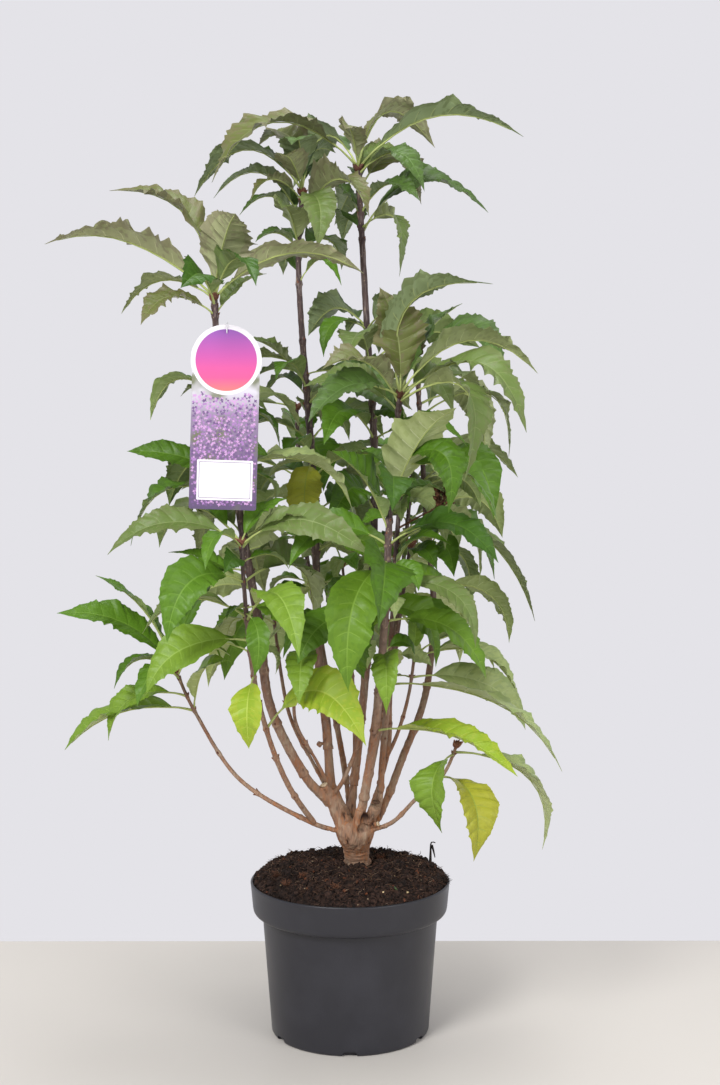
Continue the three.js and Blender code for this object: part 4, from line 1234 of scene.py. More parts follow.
def potMaterial():
    made, tree, shader = newMaterial("moulded_polypropylene", **{
        "Base Color": linear(potLook["colour"]), "Roughness": 0.38, "Specular IOR Level": 0.42, "IOR": 1.49,
    })
    places = objectPlaces(tree)
    cloud = addNode(tree, "ShaderNodeTexNoise", {"Vector": places, "Scale": 14, "Detail": 6})
    grit = addNode(tree, "ShaderNodeTexNoise", {"Vector": places, "Scale": 420, "Detail": 2})
    share = addNode(tree, "ShaderNodeMapRange",
                    {"Value": cloud.outputs["Fac"], "From Min": 0.45, "From Max": 0.8, "To Max": 0.35})
    colour = addNode(tree, "ShaderNodeMix",
                     {0: share.outputs["Result"], 6: linear(potLook["colour"]), 7: linear(potLook["dust"])},
                     data_type="RGBA")
    tree.links.new(colour.outputs[2], shader.inputs["Base Color"])
    rough = addNode(tree, "ShaderNodeMapRange",
                    {"Value": cloud.outputs["Fac"], "From Min": 0.3, "From Max": 0.7,
                     "To Min": 0.32, "To Max": 0.46})
    tree.links.new(rough.outputs["Result"], shader.inputs["Roughness"])
    bump = addNode(tree, "ShaderNodeBump",
                   {"Height": grit.outputs["Fac"], "Strength": 0.25, "Distance": 0.0004})
    tree.links.new(bump.outputs["Normal"], shader.inputs["Normal"])
    return made


def lathe(profile, sides):
    stock = newStock()
    count = len(profile)
    points = [(r * math.cos(2 * math.pi * k / sides), r * math.sin(2 * math.pi * k / sides), z)
              for k in range(sides) for r, z in profile[1:-1]]
    ring = count - 2
    bottom, top = len(points), len(points) + 1
    points += [(0, 0, profile[0][1]), (0, 0, profile[-1][1])]
    corners, counts = [], []
    for k in range(sides):
        a, b = k * ring, ((k + 1) % sides) * ring
        for i in range(ring - 1):
            corners += [a + i, b + i, b + i + 1, a + i + 1]
            counts.append(4)
        corners += [b, a, bottom, a + ring - 1, b + ring - 1, top]
        counts += [3, 3]
    addPart(stock, points, corners, counts, 0)
    return stock


def buildPot():
    p = potLook
    rimFoot = p["height"] - p["band"]
    outer = [(0, 0), (p["base"] - 6, 0)] + arc((p["base"] - 4.5, 4.5), 4.5, -80, 0, 5)
    body = [(p["base"] + (p["shoulder"] - p["base"]) * i / 8, 6 + (rimFoot - 9) * i / 8)
            for i in range(1, 9)]
    under = [(p["shoulder"] + 2.5, rimFoot - 0.6)] + arc((p["rim"] - 11, rimFoot + 6.5), 7.2, -84, -8, 6)
    band = [(p["rim"] - 3.4 + 2.9 * i / 5, rimFoot + 8 + (p["band"] - 12) * i / 5) for i in range(6)]
    lip = arc((p["rim"] - 2.2, p["height"] - 2.0), 2.0, 0, 180, 8)
    inner = [(p["rim"] - 5, rimFoot + 10), (p["rim"] - 8.5, rimFoot + 3.5),
             (p["shoulder"] - p["wall"], rimFoot + 0.5), (p["base"] - p["wall"], p["floor"]),
             (0, p["floor"])]
    stock = lathe(outer + body + under + band + lip + inner, p["sides"])
    piece = makeMesh("pot_shell", stock, [potMaterial()])
    cutters = newStock()
    for i in range(p["notches"]):
        turn = Matrix.Rotation(2 * math.pi * i / p["notches"], 3, "Z")
        wide, deep, high = 0.5 * p["notchWidth"], p["notchDepth"], p["notchHeight"]
        section = [(-wide, -5), (wide, -5), (wide, high - 3), (wide - 3, high), (3 - wide, high),
                   (-wide, high - 3)]
        rings = [[turn @ Vector((x, -p["base"] + y, z)) for x, z in section] for y in (deep, -deep)]
        addPart(cutters, *tubePart([list(v) for ring in rings for v in ring], 6), 0)
    cutter = makeMesh("notch_cutter", cutters, [])
    cutter.hide_render = True
    cut = piece.modifiers.new("notches", "BOOLEAN")
    cut.object, cut.operation, cut.solver = cutter, "DIFFERENCE", "EXACT"
    settle(piece)
    bpy.data.objects.remove(cutter)
    bm = bmesh.new()
    bm.from_mesh(piece.data)
    for edge in bm.edges:
        edge.smooth = len(edge.link_faces) == 2 and edge.calc_face_angle() < math.radians(38)
    for face in bm.faces:
        face.smooth = True
    bm.to_mesh(piece.data)
    bm.free()
    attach(piece, "root")
    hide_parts("pot")
    print("pot:", len(piece.data.polygons), "faces")


buildPot()


# Potting peat: dark, damp in patches, in crumbs and lumps of 2 to 15 mm, with brown fibres, reddish
# bits of bark and pale grit.
soilLook = {
    "mound": ((135.2, 211), (133, 215), (127, 221), (116, 226), (80, 230), (40, 231), (0, 231)),
    "rings": 90, "spokes": 220, "clump": 4.4, "crumb": 2.6, "under": 196, "smoothFrom": 136,
    "smoothOver": 12, "dampPerMetre": 17, "damp": 0.5,
    "dark": "#1a1412", "brown": "#45322a", "fibre": "#664b3c", "paleFibre": "#97806c", "red": "#7a4429",
    "grit": "#c9b391",
}


def soilMaterial(name, dark, light, perMetre, rough=0.9):
    made, tree, shader = newMaterial(name, **{
        "Base Color": linear(dark), "Roughness": rough, "Specular IOR Level": 0.2,
    })
    places = objectPlaces(tree)
    cloud = addNode(tree, "ShaderNodeTexNoise", {"Vector": places, "Scale": perMetre, "Detail": 8})
    share = addNode(tree, "ShaderNodeMapRange",
                    {"Value": cloud.outputs["Fac"], "From Min": 0.4, "From Max": 0.68})
    colour = addNode(tree, "ShaderNodeMix",
                     {0: share.outputs["Result"], 6: linear(dark), 7: linear(light)}, data_type="RGBA")
    wet = addNode(tree, "ShaderNodeTexNoise",
                  {"Vector": places, "Scale": soilLook["dampPerMetre"], "Detail": 3})
    share = addNode(tree, "ShaderNodeMapRange",
                    {"Value": wet.outputs["Fac"], "From Min": 0.46, "From Max": 0.6,
                     "To Max": soilLook["damp"]})
    damp = addNode(tree, "ShaderNodeMix",
                   {0: share.outputs["Result"], 6: colour.outputs[2], 7: linear(soilLook["dark"])},
                   data_type="RGBA")
    tree.links.new(damp.outputs[2], shader.inputs["Base Color"])
    bump = addNode(tree, "ShaderNodeBump",
                   {"Height": cloud.outputs["Fac"], "Strength": 0.8, "Distance": 0.002})
    tree.links.new(bump.outputs["Normal"], shader.inputs["Normal"])
    return made


def soilTop(x, y):
    radius = math.hypot(x, y)
    places = soilLook["mound"][::-1]
    height = float(np.interp(radius, [r for r, z in places], [z for r, z in places]))
    edge = min(1.0, max(0.0, (soilLook["smoothFrom"] - radius) / soilLook["smoothOver"]))

    def lumps(perMm, layer):
        return noise.noise(Vector((x * perMm, y * perMm, layer)))

    clump = lumps(0.055, 0) + 0.6 * lumps(0.12, 3)
    crumb = lumps(0.33, 7) + 0.6 * lumps(0.8, 9)
    return height + (0.3 + 0.7 * edge) * (soilLook["clump"] * clump + soilLook["crumb"] * crumb)


def buildSoil():
    rings, spokes = soilLook["rings"], soilLook["spokes"]
    widest = soilLook["mound"][0][0]
    points = [(0, 0, soilTop(0, 0)), (0, 0, soilLook["under"])]
    for i in range(1, rings + 1):
        radius = widest * i / rings
        for k in range(spokes):
            a = 2 * math.pi * (k + 0.5 * (i % 2)) / spokes
            x, y = radius * math.cos(a), radius * math.sin(a)
            points.append((x, y, soilTop(x, y)))
    for k in range(spokes):
        a = 2 * math.pi * k / spokes
        points.append(((widest - 3) * math.cos(a), (widest - 3) * math.sin(a), soilLook["under"]))
    corners, counts = [], []
    for k in range(spokes):
        n = (k + 1) % spokes
        corners += [0, 2 + k, 2 + n]
        counts.append(3)
        for i in range(rings - 1):
            a, b = 2 + i * spokes + k, 2 + i * spokes + n
            corners += [a, a + spokes, b + spokes, b]
            counts.append(4)
        a, b = 2 + (rings - 1) * spokes + k, 2 + (rings - 1) * spokes + n
        corners += [a, a + spokes, b + spokes, b]
        counts.append(4)
        corners += [1, b + spokes, a + spokes]
        counts.append(3)
    stock = newStock()
    addPart(stock, points, corners, counts, 0)
    piece = makeMesh("soil_bed", stock,
                     [soilMaterial("potting_peat", soilLook["dark"], soilLook["brown"], 150)])
    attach(piece, "root")
    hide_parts("soil")
    print("soil:", len(piece.data.polygons), "faces")
    return piece


soilBed = buildSoil()


# A tree that scatters a shape over the upward side of a surface, by seed, density and sizes.
def scatterTree():
    tree = bpy.data.node_groups.new("scatter", "GeometryNodeTree")
    face = tree.interface
    face.new_socket("Surface", in_out="INPUT", socket_type="NodeSocketGeometry")
    for name, kind in (("Shape", "Object"), ("Per square metre", "Float"), ("Seed", "Int"),
                       ("Smallest", "Float"), ("Largest", "Float"), ("Lift", "Float"), ("Tilt", "Float"),
                       ("Material", "Material")):
        face.new_socket(name, in_out="INPUT", socket_type="NodeSocket" + kind)
    face.new_socket("Pieces", in_out="OUTPUT", socket_type="NodeSocketGeometry")
    given = addNode(tree, "NodeGroupInput").outputs
    facing = addNode(tree, "ShaderNodeSeparateXYZ", {0: addNode(tree, "GeometryNodeInputNormal").outputs[0]})
    upward = addNode(tree, "FunctionNodeCompare", {0: facing.outputs["Z"], 1: 0.2}, operation="GREATER_THAN")
    spots = addNode(tree, "GeometryNodeDistributePointsOnFaces",
                    {"Mesh": given["Surface"], "Selection": upward.outputs[0],
                     "Density": given["Per square metre"], "Seed": given["Seed"]})
    shape = addNode(tree, "GeometryNodeObjectInfo", {"Object": given["Shape"]})
    turn = addNode(tree, "FunctionNodeRandomValue",
                   {0: (-1.0, -1.0, -3.2), 1: (1.0, 1.0, 3.2), "Seed": given["Seed"]},
                   data_type="FLOAT_VECTOR")
    damped = addNode(tree, "ShaderNodeCombineXYZ", {0: given["Tilt"], 1: given["Tilt"], 2: 1.0})
    tilt = addNode(tree, "ShaderNodeVectorMath", {0: turn.outputs[0], 1: damped.outputs[0]},
                   operation="MULTIPLY")
    scale = addNode(tree, "FunctionNodeRandomValue",
                    {2: given["Smallest"], 3: given["Largest"], "Seed": given["Seed"]}, data_type="FLOAT")
    rise = addNode(tree, "ShaderNodeCombineXYZ", {2: given["Lift"]})
    lifted = addNode(tree, "GeometryNodeSetPosition",
                     {"Geometry": spots.outputs["Points"], "Offset": rise.outputs[0]})
    placed = addNode(tree, "GeometryNodeInstanceOnPoints",
                     {"Points": lifted.outputs[0], "Instance": shape.outputs["Geometry"],
                      "Rotation": tilt.outputs[0], "Scale": scale.outputs[1]})
    real = addNode(tree, "GeometryNodeRealizeInstances", {"Geometry": placed.outputs[0]})
    done = addNode(tree, "GeometryNodeSetMaterial",
                   {"Geometry": real.outputs[0], "Material": given["Material"]})
    addNode(tree, "NodeGroupOutput", {"Pieces": done.outputs[0]})
    return tree


scatter = scatterTree()


# Sets a tree's inputs on a piece, turns the result into a plain mesh and drops the shape it repeats
def growFrom(tree, piece, given):
    modifier = piece.modifiers.new(tree.name, "NODES")
    modifier.node_group = tree
    keys = {item.name: item.identifier for item in tree.interface.items_tree
            if item.item_type == "SOCKET" and item.in_out == "INPUT"}
    for label, value in given.items():
        modifier[keys[label]] = value
    settle(piece)
    piece.data.materials.clear()
    piece.data.materials.append(given["Material"])
    bpy.data.objects.remove(given["Shape"])


def scatterPiece(name, surface, **given):
    piece = bpy.data.objects.new(name, surface.data.copy())
    bpy.context.scene.collection.objects.link(piece)
    growFrom(scatter, piece, given)
    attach(piece, "root")
    print(name, len(piece.data.polygons), "faces")


def crumbShape():
    bm = bmesh.new()
    bmesh.ops.create_icosphere(bm, subdivisions=1, radius=mm)
    for vert in bm.verts:
        vert.co *= 1 + 0.35 * noise.noise(vert.co / mm * 1.7)
        vert.co.z *= 0.75
    mesh = bpy.data.meshes.new("crumb")
    bm.to_mesh(mesh)
    bm.free()
    made = bpy.data.objects.new("crumb", mesh)
    bpy.context.scene.collection.objects.link(made)
    return made


def fibreShape():
    path = route(((-6, 0, 0), (-2, 1.4, 0.9), (2, -0.8, 0.6), (6, 1, -0.3)))
    ways = np.linspace(0.3, path["length"] - 0.3, 6)
    stock = newStock()
    addPart(stock, *tubePart(ringsAlong(path, ways, (0.1, 0.3, 0.36, 0.3, 0.28, 0.1), 3), 3), 0)
    return makeMesh("fibre", stock, [])


def buildCrumbs():
    look = soilLook
    peat = soilMaterial("peat_crumbs", look["dark"], look["brown"], 260)
    fibres = soilMaterial("peat_fibres", look["brown"], look["fibre"], 120)
    pale = soilMaterial("peat_pale_fibres", look["fibre"], look["paleFibre"], 160)
    red = soilMaterial("peat_bark_bits", look["brown"], look["red"], 200)
    grit = soilMaterial("pale_grit", "#8d7a60", look["grit"], 300, 0.7)
    for name, shape, made, perSquareMetre, seed, smallest, largest, lift, tilt in (
            ("soil_crumbs", crumbShape, peat, 40000.0, 3, 0.9, 3.6, 0.0008, 3.0),
            ("soil_lumps", crumbShape, peat, 3000.0, 5, 3.0, 7.5, 0.0004, 3.0),
            ("soil_bark_bits", crumbShape, red, 1700.0, 13, 1.2, 3.4, 0.0014, 3.0),
            ("soil_fibres", fibreShape, fibres, 14000.0, 8, 0.5, 1.6, 0.0018, 0.7),
            ("soil_pale_fibres", fibreShape, pale, 5000.0, 17, 0.35, 1.2, 0.003, 0.8),
            ("soil_grit", crumbShape, grit, 620.0, 21, 0.6, 1.3, 0.0024, 3.0)):
        scatterPiece(name, soilBed, Shape=shape(), Seed=seed, Smallest=smallest, Largest=largest,
                     Lift=lift, Tilt=tilt, Material=made, **{"Per square metre": perSquareMetre})


buildCrumbs()


# Litter on the soil: tufts of coir, larger grit, a bit of fallen leaf, fibres that spill over the rim
# and a two-pronged dark root that stands at the right.
litter = {
    "tufts": ((-86, -87, 8), (-19, -101, 7.5), (-101, -44, 8), (-64, -58, 5), (44, 38, 6)),
    "fibresPerTuft": 46, "grit": ((-15, -36, 1.1), (45, -113, 1.2), (78, -99, 1.4), (-94, -76, 1.0)),
    "leafBit": ((53, -99), (67, -100), (61, -90)),
    "spill": ((137, -22), (139, -12), (138, -2), (-96, -99)), "fibresPerSpill": 14, "spillHeight": 214.5,
    "root": ((((115, 56, 217), (115.5, 56, 236), (116, 56, 250), (119, 56, 252), (123, 56, 250.5)), 2.4),
             (((117, 56, 248), (119.5, 56, 240), (122, 55, 229)), 1.9)),
}


def fibrePart(stock, start, heading, length, draw):
    bend = times(unit((draw() - 0.5, draw() - 0.5, draw() - 0.5)), 0.3 * length)
    path = route((start, plus(plus(start, times(heading, 0.5 * length)), bend),
                  plus(start, times(heading, length))))
    ways = np.linspace(0.2, path["length"] - 0.2, 5)
    addPart(stock, *tubePart(ringsAlong(path, ways, (0.25, 0.34, 0.3, 0.26, 0.1), 3), 3), 0)


def buildLitter():
    draw = seeded(233)
    tufts, spill = newStock(), newStock()
    for x, y, radius in litter["tufts"]:
        for i in range(litter["fibresPerTuft"]):
            away = unit((draw() - 0.5, draw() - 0.5, 0.6 * draw()))
            start = plus((x, y, soilTop(x, y) + 1.5), times(away, 0.6 * radius * draw()))
            fibrePart(tufts, start, unit((draw() - 0.5, draw() - 0.5, 0.5 * draw())), 5 + 5 * draw(), draw)
    for x, y in litter["spill"]:
        for i in range(litter["fibresPerSpill"]):
            start = (x + 5 * (draw() - 0.5), y + 7 * (draw() - 0.5), litter["spillHeight"] + 3 * draw())
            out = unit((x, y, 0))
            heading = unit(plus(out, (1.6 * (draw() - 0.5), 1.6 * (draw() - 0.5), 0.9 * draw() - 0.3)))
            fibrePart(spill, minus(start, times(out, 5)), heading, 5 + 4 * draw(), draw)
    coir = soilMaterial("coir_tufts", soilLook["fibre"], "#8c5940", 300)
    crumbs = soilMaterial("spilt_peat", soilLook["dark"], soilLook["brown"], 260)
    grit, bit, root = newStock(), newStock(), newStock()
    for x, y, radius in litter["grit"]:
        z = soilTop(x, y) + 2.2
        addPart(grit, *capsule((x - radius, y, z), (x + radius, y, z + 0.5), radius, 0.8 * radius, 8), 0)
    a, b, c = [(x, y, soilTop(x, y) + 3.2) for x, y in litter["leafBit"]]
    middle = plus(mix(mix(a, b, 0.5), c, 0.33), (0, 0, 1.2))
    shape = [a, mix(a, b, 0.5), b, mix(b, c, 0.5), c, mix(c, a, 0.5)]
    rings = [[plus(mix(middle, at, 0.5), (0, 0, 0.2 + rise)) for at in shape] for rise in (0.7, -0.7)]
    rings = [rings[0], shape, rings[1]]
    addPart(bit, *tubePart([at for ring in rings for at in ring], 6), 0)
    for points, thick in litter["root"]:
        path = route(points)
        ways = np.linspace(0.6, path["length"] - 0.6, 14)
        addPart(root, *tubePart(ringsAlong(path, ways, np.linspace(thick, 0.7, 14), 8), 8), 0)
    for name, stock, made in (
            ("soil_tufts", tufts, coir), ("soil_spill", spill, crumbs),
            ("soil_large_grit", grit, soilMaterial("large_grit", "#a8946f", "#e0c79c", 300, 0.7)),
            ("soil_leaf_bit", bit, soilMaterial("wilted_leaf_bit", "#3c4a30", "#5c7048", 200, 0.6)),
            ("soil_root", root, soilMaterial("old_root", "#15110f", "#2e241d", 200, 0.7))):
        piece = makeMesh(name, stock, [made])
        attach(piece, "root")
    print("litter:", len(litter["tufts"]), "tufts")


buildLitter()


# Buds: a pair of small pointed ones at every node, turned by chance, and a whorl of larger ones round
# each stem's top. A tree turns one shape to the direction kept on each point.
budLook = {
    "length": 4.6, "width": 1.5, "widths": (0.6, 0.95, 1.0, 0.8, 0.45, 0.1), "sides": 6, "lean": 0.8,
    "whorl": 9, "whorlSize": (1.7, 2.5), "aboveStump": 78, "aboveFork": 20, "colour": "#74443a",
    "scale": "#9a6e54",
}


def budShape():
    path = route(((0, 0, -1), (0, 0, 0.4 * budLook["length"]), (0.3, 0, budLook["length"])))
    shares = np.linspace(0.02, 0.98, len(budLook["widths"]))
    radii = [budLook["width"] * share for share in budLook["widths"]]
    rings = ringsAlong(path, shares * path["length"], radii, budLook["sides"])
    stock = newStock()
    addPart(stock, *tubePart(rings, budLook["sides"]), 0)
    return makeMesh("bud", stock, [])


def budTree():
    tree = bpy.data.node_groups.new("buds", "GeometryNodeTree")
    face = tree.interface
    face.new_socket("Points", in_out="INPUT", socket_type="NodeSocketGeometry")
    for name, kind in (("Shape", "Object"), ("Size", "Float"), ("Material", "Material")):
        face.new_socket(name, in_out="INPUT", socket_type="NodeSocket" + kind)
    face.new_socket("Buds", in_out="OUTPUT", socket_type="NodeSocketGeometry")
    given = addNode(tree, "NodeGroupInput").outputs
    facing = addNode(tree, "GeometryNodeInputNamedAttribute", {"Name": "facing"}, data_type="FLOAT_VECTOR")
    share = addNode(tree, "GeometryNodeInputNamedAttribute", {"Name": "share"}, data_type="FLOAT")
    scale = addNode(tree, "ShaderNodeMath", {0: share.outputs[0], 1: given["Size"]}, operation="MULTIPLY")
    turned = addNode(tree, "FunctionNodeAlignRotationToVector", {"Vector": facing.outputs[0]}, axis="Z")
    shape = addNode(tree, "GeometryNodeObjectInfo", {"Object": given["Shape"]})
    placed = addNode(tree, "GeometryNodeInstanceOnPoints",
                     {"Points": given["Points"], "Instance": shape.outputs["Geometry"],
                      "Rotation": turned.outputs[0], "Scale": scale.outputs[0]})
    real = addNode(tree, "GeometryNodeRealizeInstances", {"Geometry": placed.outputs[0]})
    done = addNode(tree, "GeometryNodeSetMaterial",
                   {"Geometry": real.outputs[0], "Material": given["Material"]})
    addNode(tree, "NodeGroupOutput", {"Buds": done.outputs[0]})
    return tree


def buildBuds():
    places, facings, shares = [], [], []
    for stem in stems.values():
        draw = seeded(31 + len(stem["name"]))
        start = budLook["aboveStump"] if stem["from"] == "stump" else budLook["aboveFork"]
        for s in nodeWays(stem):
            if s < start:
                continue
            s = min(s, stem["path"]["length"] - 1)
            ahead = unit(minus(placeAt(stem["path"], s + 0.5), placeAt(stem["path"], s - 0.5)))
            turn = fullTurn * draw()
            out = unit(cross(ahead, (math.cos(turn), math.sin(turn), 0.1)))
            for side in (1, -1):
                facings.append(unit(plus(times(out, side * budLook["lean"]), ahead)))
                aside = times(out, side * 0.9 * radiusAt(stem, s))
                places.append(plus(placeAt(stem["path"], s + 1), aside))
                shares.append(1)
        low, high = budLook["whorlSize"]
        for k in range(budLook["whorl"]):
            turn = 2 * math.pi * k / budLook["whorl"] + 0.5 * draw()
            out = unit(cross(ahead, (math.cos(turn), math.sin(turn), 0.1)))
            facings.append(unit(plus(times(out, 0.5 + 0.6 * draw()), ahead)))
            end = placeAt(stem["path"], stem["path"]["length"] - 3 - 3 * draw())
            places.append(plus(end, times(out, 0.5 * stem["radii"][1])))
            shares.append(low + (high - low) * draw())
    mesh = bpy.data.meshes.new("wood_buds")
    mesh.from_pydata([times(p, mm) for p in places], [], [])
    mesh.attributes.new("facing", "FLOAT_VECTOR", "POINT").data.foreach_set("vector", np.ravel(facings))
    mesh.attributes.new("share", "FLOAT", "POINT").data.foreach_set("value", shares)
    piece = bpy.data.objects.new("wood_buds", mesh)
    bpy.context.scene.collection.objects.link(piece)
    scales = soilMaterial("bud_scales", budLook["colour"], budLook["scale"], 500, 0.55)
    growFrom(budTree(), piece, {"Shape": budShape(), "Size": 1.0, "Material": scales})
    piece.data.polygons.foreach_set("use_smooth", np.ones(len(piece.data.polygons), bool))
    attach(piece, "root")
    print("buds:", len(places))


buildBuds()


# Last year's seed head: dry brown capsules on twigs round a short stalk from the right twin stem
seedLook = {
    "stem": "twin_right", "height": 712, "centre": (124, -86, 746), "spread": (11, 10, 24), "count": 60,
    "length": 9, "width": 2.1, "widths": (0.4, 0.9, 1.05, 0.85, 0.5, 0.12), "stalk": (1.5, 0.7),
    "twig": (0.5, 0.45, 0.4, 0.5), "colour": "#583a2c", "edge": "#8d6248",
}


def buildSeeds():
    look = seedLook
    stock = newStock()
    stem = stems[look["stem"]]
    root = placeAt(stem["path"], wayToHeight(stem["path"], look["height"]))
    tip = plus(look["centre"], (0, 0, look["spread"][2] * 0.7))
    stalk = route((root, mix(root, look["centre"], 0.5), look["centre"], tip))
    ways = np.linspace(0.6, stalk["length"] - 0.6, 16)
    addPart(stock, *tubePart(ringsAlong(stalk, ways, np.linspace(*look["stalk"], 16), 8), 8), 0)
    draw = seeded(419)
    for i in range(look["count"]):
        away = unit((draw() - 0.5, draw() - 0.5, draw() - 0.45))
        far = 0.45 + 0.5 * draw()
        foot = plus(look["centre"], tuple(away[k] * look["spread"][k] * far for k in range(3)))
        heading = unit(plus(away, (0, 0, 0.6)))
        axis = placeAt(stalk, stalk["length"] * (0.62 + 0.3 * draw()))
        twig = route((axis, mix(axis, foot, 0.6), foot))
        steps = np.linspace(0.5, max(1.2, twig["length"] - 0.5), 4)
        addPart(stock, *tubePart(ringsAlong(twig, steps, look["twig"], 4), 4), 0)
        pod = route((foot, plus(foot, times(heading, look["length"] * (0.8 + 0.4 * draw())))))
        steps = np.linspace(0.05, 0.97, 6) * pod["length"]
        radii = [look["width"] * k for k in look["widths"]]
        addPart(stock, *tubePart(ringsAlong(pod, steps, radii, 6), 6), 0)
    pods = soilMaterial("dry_seed_pods", look["colour"], look["edge"], 350, 0.7)
    piece = makeMesh("seed_head", stock, [pods])
    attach(piece, "root")
    print("seed head:", len(piece.data.polygons), "faces")


buildSeeds()


# Tag: a printed card with a white border round its head. The print is a plain disc, small blossoms
# dealt out in a spiral over a soft field, and a blank label with a thin frame.
tagLook = {
    "card": "#ece9ef", "disc": ((0, "#f27c74"), (0.22, "#e65a92"), (0.55, "#c556a4"), (1, "#8f5ab0")),
    "field": ((0, "#5f4f70"), (0.35, "#6d5a7c"), (0.8, "#93849e"), (1, "#d3d0da")), "leafy": "#6d7350",
    "petals": (("lilac", "#a97dba"), ("violet", "#715585"), ("pink", "#cb9ed0")),
    "discRadius": 39.5, "discReach": 40, "fieldMiddle": -116, "fieldReach": 76, "proud": 0.08,
    "printDepth": 0.1, "corner": 3, "blossom": (1.5, 2.9), "blossomWaist": 0.45, "blossoms": 1500,
    "blossomGap": 2.1, "turnPerBlossom": 137.5, "edgeGap": 2.6, "footGap": 2, "headGap": 4,
    "label": (-34, -128, 38, -180), "labelCorner": 1.2,
    "labelPlates": ((0, 0.1, 0), (2.6, 0.13, 4), (3.2, 0.16, 0)),
}


def tagMaterials():
    card, _, _ = newMaterial("white_card", **{
        "Base Color": linear(tagLook["card"]), "Roughness": 0.32, "Specular IOR Level": 0.5})
    disc, tree, shader = newMaterial("printed_disc", **{
        "Base Color": linear("#e066b8"), "Roughness": 0.3, "Specular IOR Level": 0.5})
    height = addNode(tree, "ShaderNodeSeparateXYZ", {"Vector": objectPlaces(tree)}).outputs["Z"]

    def blendUp(colours, reach, middle):
        share = addNode(tree, "ShaderNodeMapRange", {
            "Value": height, "From Min": (middle - reach) * mm, "From Max": (middle + reach) * mm})
        ramp = addNode(tree, "ShaderNodeValToRGB", {"Fac": share.outputs["Result"]})
        for i, (place, colour) in enumerate(colours):
            stop = ramp.color_ramp.elements[i] if i < 2 else ramp.color_ramp.elements.new(place)
            stop.position, stop.color = place, linear(colour)
        return ramp.outputs["Color"]

    sunset = blendUp(tagLook["disc"], tagLook["discReach"], tag["centre"][2])
    tree.links.new(sunset, shader.inputs["Base Color"])
    field, tree, shader = newMaterial("printed_field", **{
        "Base Color": linear("#8d7c95"), "Roughness": 0.3, "Specular IOR Level": 0.5})
    height = addNode(tree, "ShaderNodeSeparateXYZ", {"Vector": objectPlaces(tree)}).outputs["Z"]
    violet = blendUp(tagLook["field"], tagLook["fieldReach"], tag["centre"][2] + tagLook["fieldMiddle"])
    cloud = addNode(tree, "ShaderNodeTexNoise", {"Vector": objectPlaces(tree), "Scale": 26, "Detail": 2})
    share = addNode(tree, "ShaderNodeMapRange",
                    {"Value": cloud.outputs["Fac"], "From Min": 0.5, "From Max": 0.62, "To Max": 0.9})
    colour = addNode(tree, "ShaderNodeMix",
                     {0: share.outputs["Result"], 6: violet, 7: linear(tagLook["leafy"])},
                     data_type="RGBA")
    tree.links.new(colour.outputs[2], shader.inputs["Base Color"])
    petals = [newMaterial("printed_blossom_" + name, **{
        "Base Color": linear(colour), "Roughness": 0.3, "Specular IOR Level": 0.5})[0]
        for name, colour in tagLook["petals"]]
    return card, disc, field, petals


def plate(stock, outlineXz, front, back, slot):
    count = len(outlineXz)
    points = [plus(onTag(x, z), (0, y, 0)) for y in (front, back) for x, z in outlineXz]
    corners, counts = list(range(count)), [count]
    corners += [count + (count - 1 - k) for k in range(count)]
    counts.append(count)
    for k in range(count):
        n = (k + 1) % count
        corners += [n, k, k + count, n + count]
        counts.append(4)
    addPart(stock, points, corners, counts, slot)


def roundedBox(left, top, right, bottom, corner):
    outlineXz = []
    corners = ((right - corner, top - corner), (left + corner, top - corner),
               (left + corner, bottom + corner), (right - corner, bottom + corner))
    for k, centre in enumerate(corners):
        outlineXz += arc(centre, corner, 90 * k, 90 * k + 90, 4)
    return outlineXz


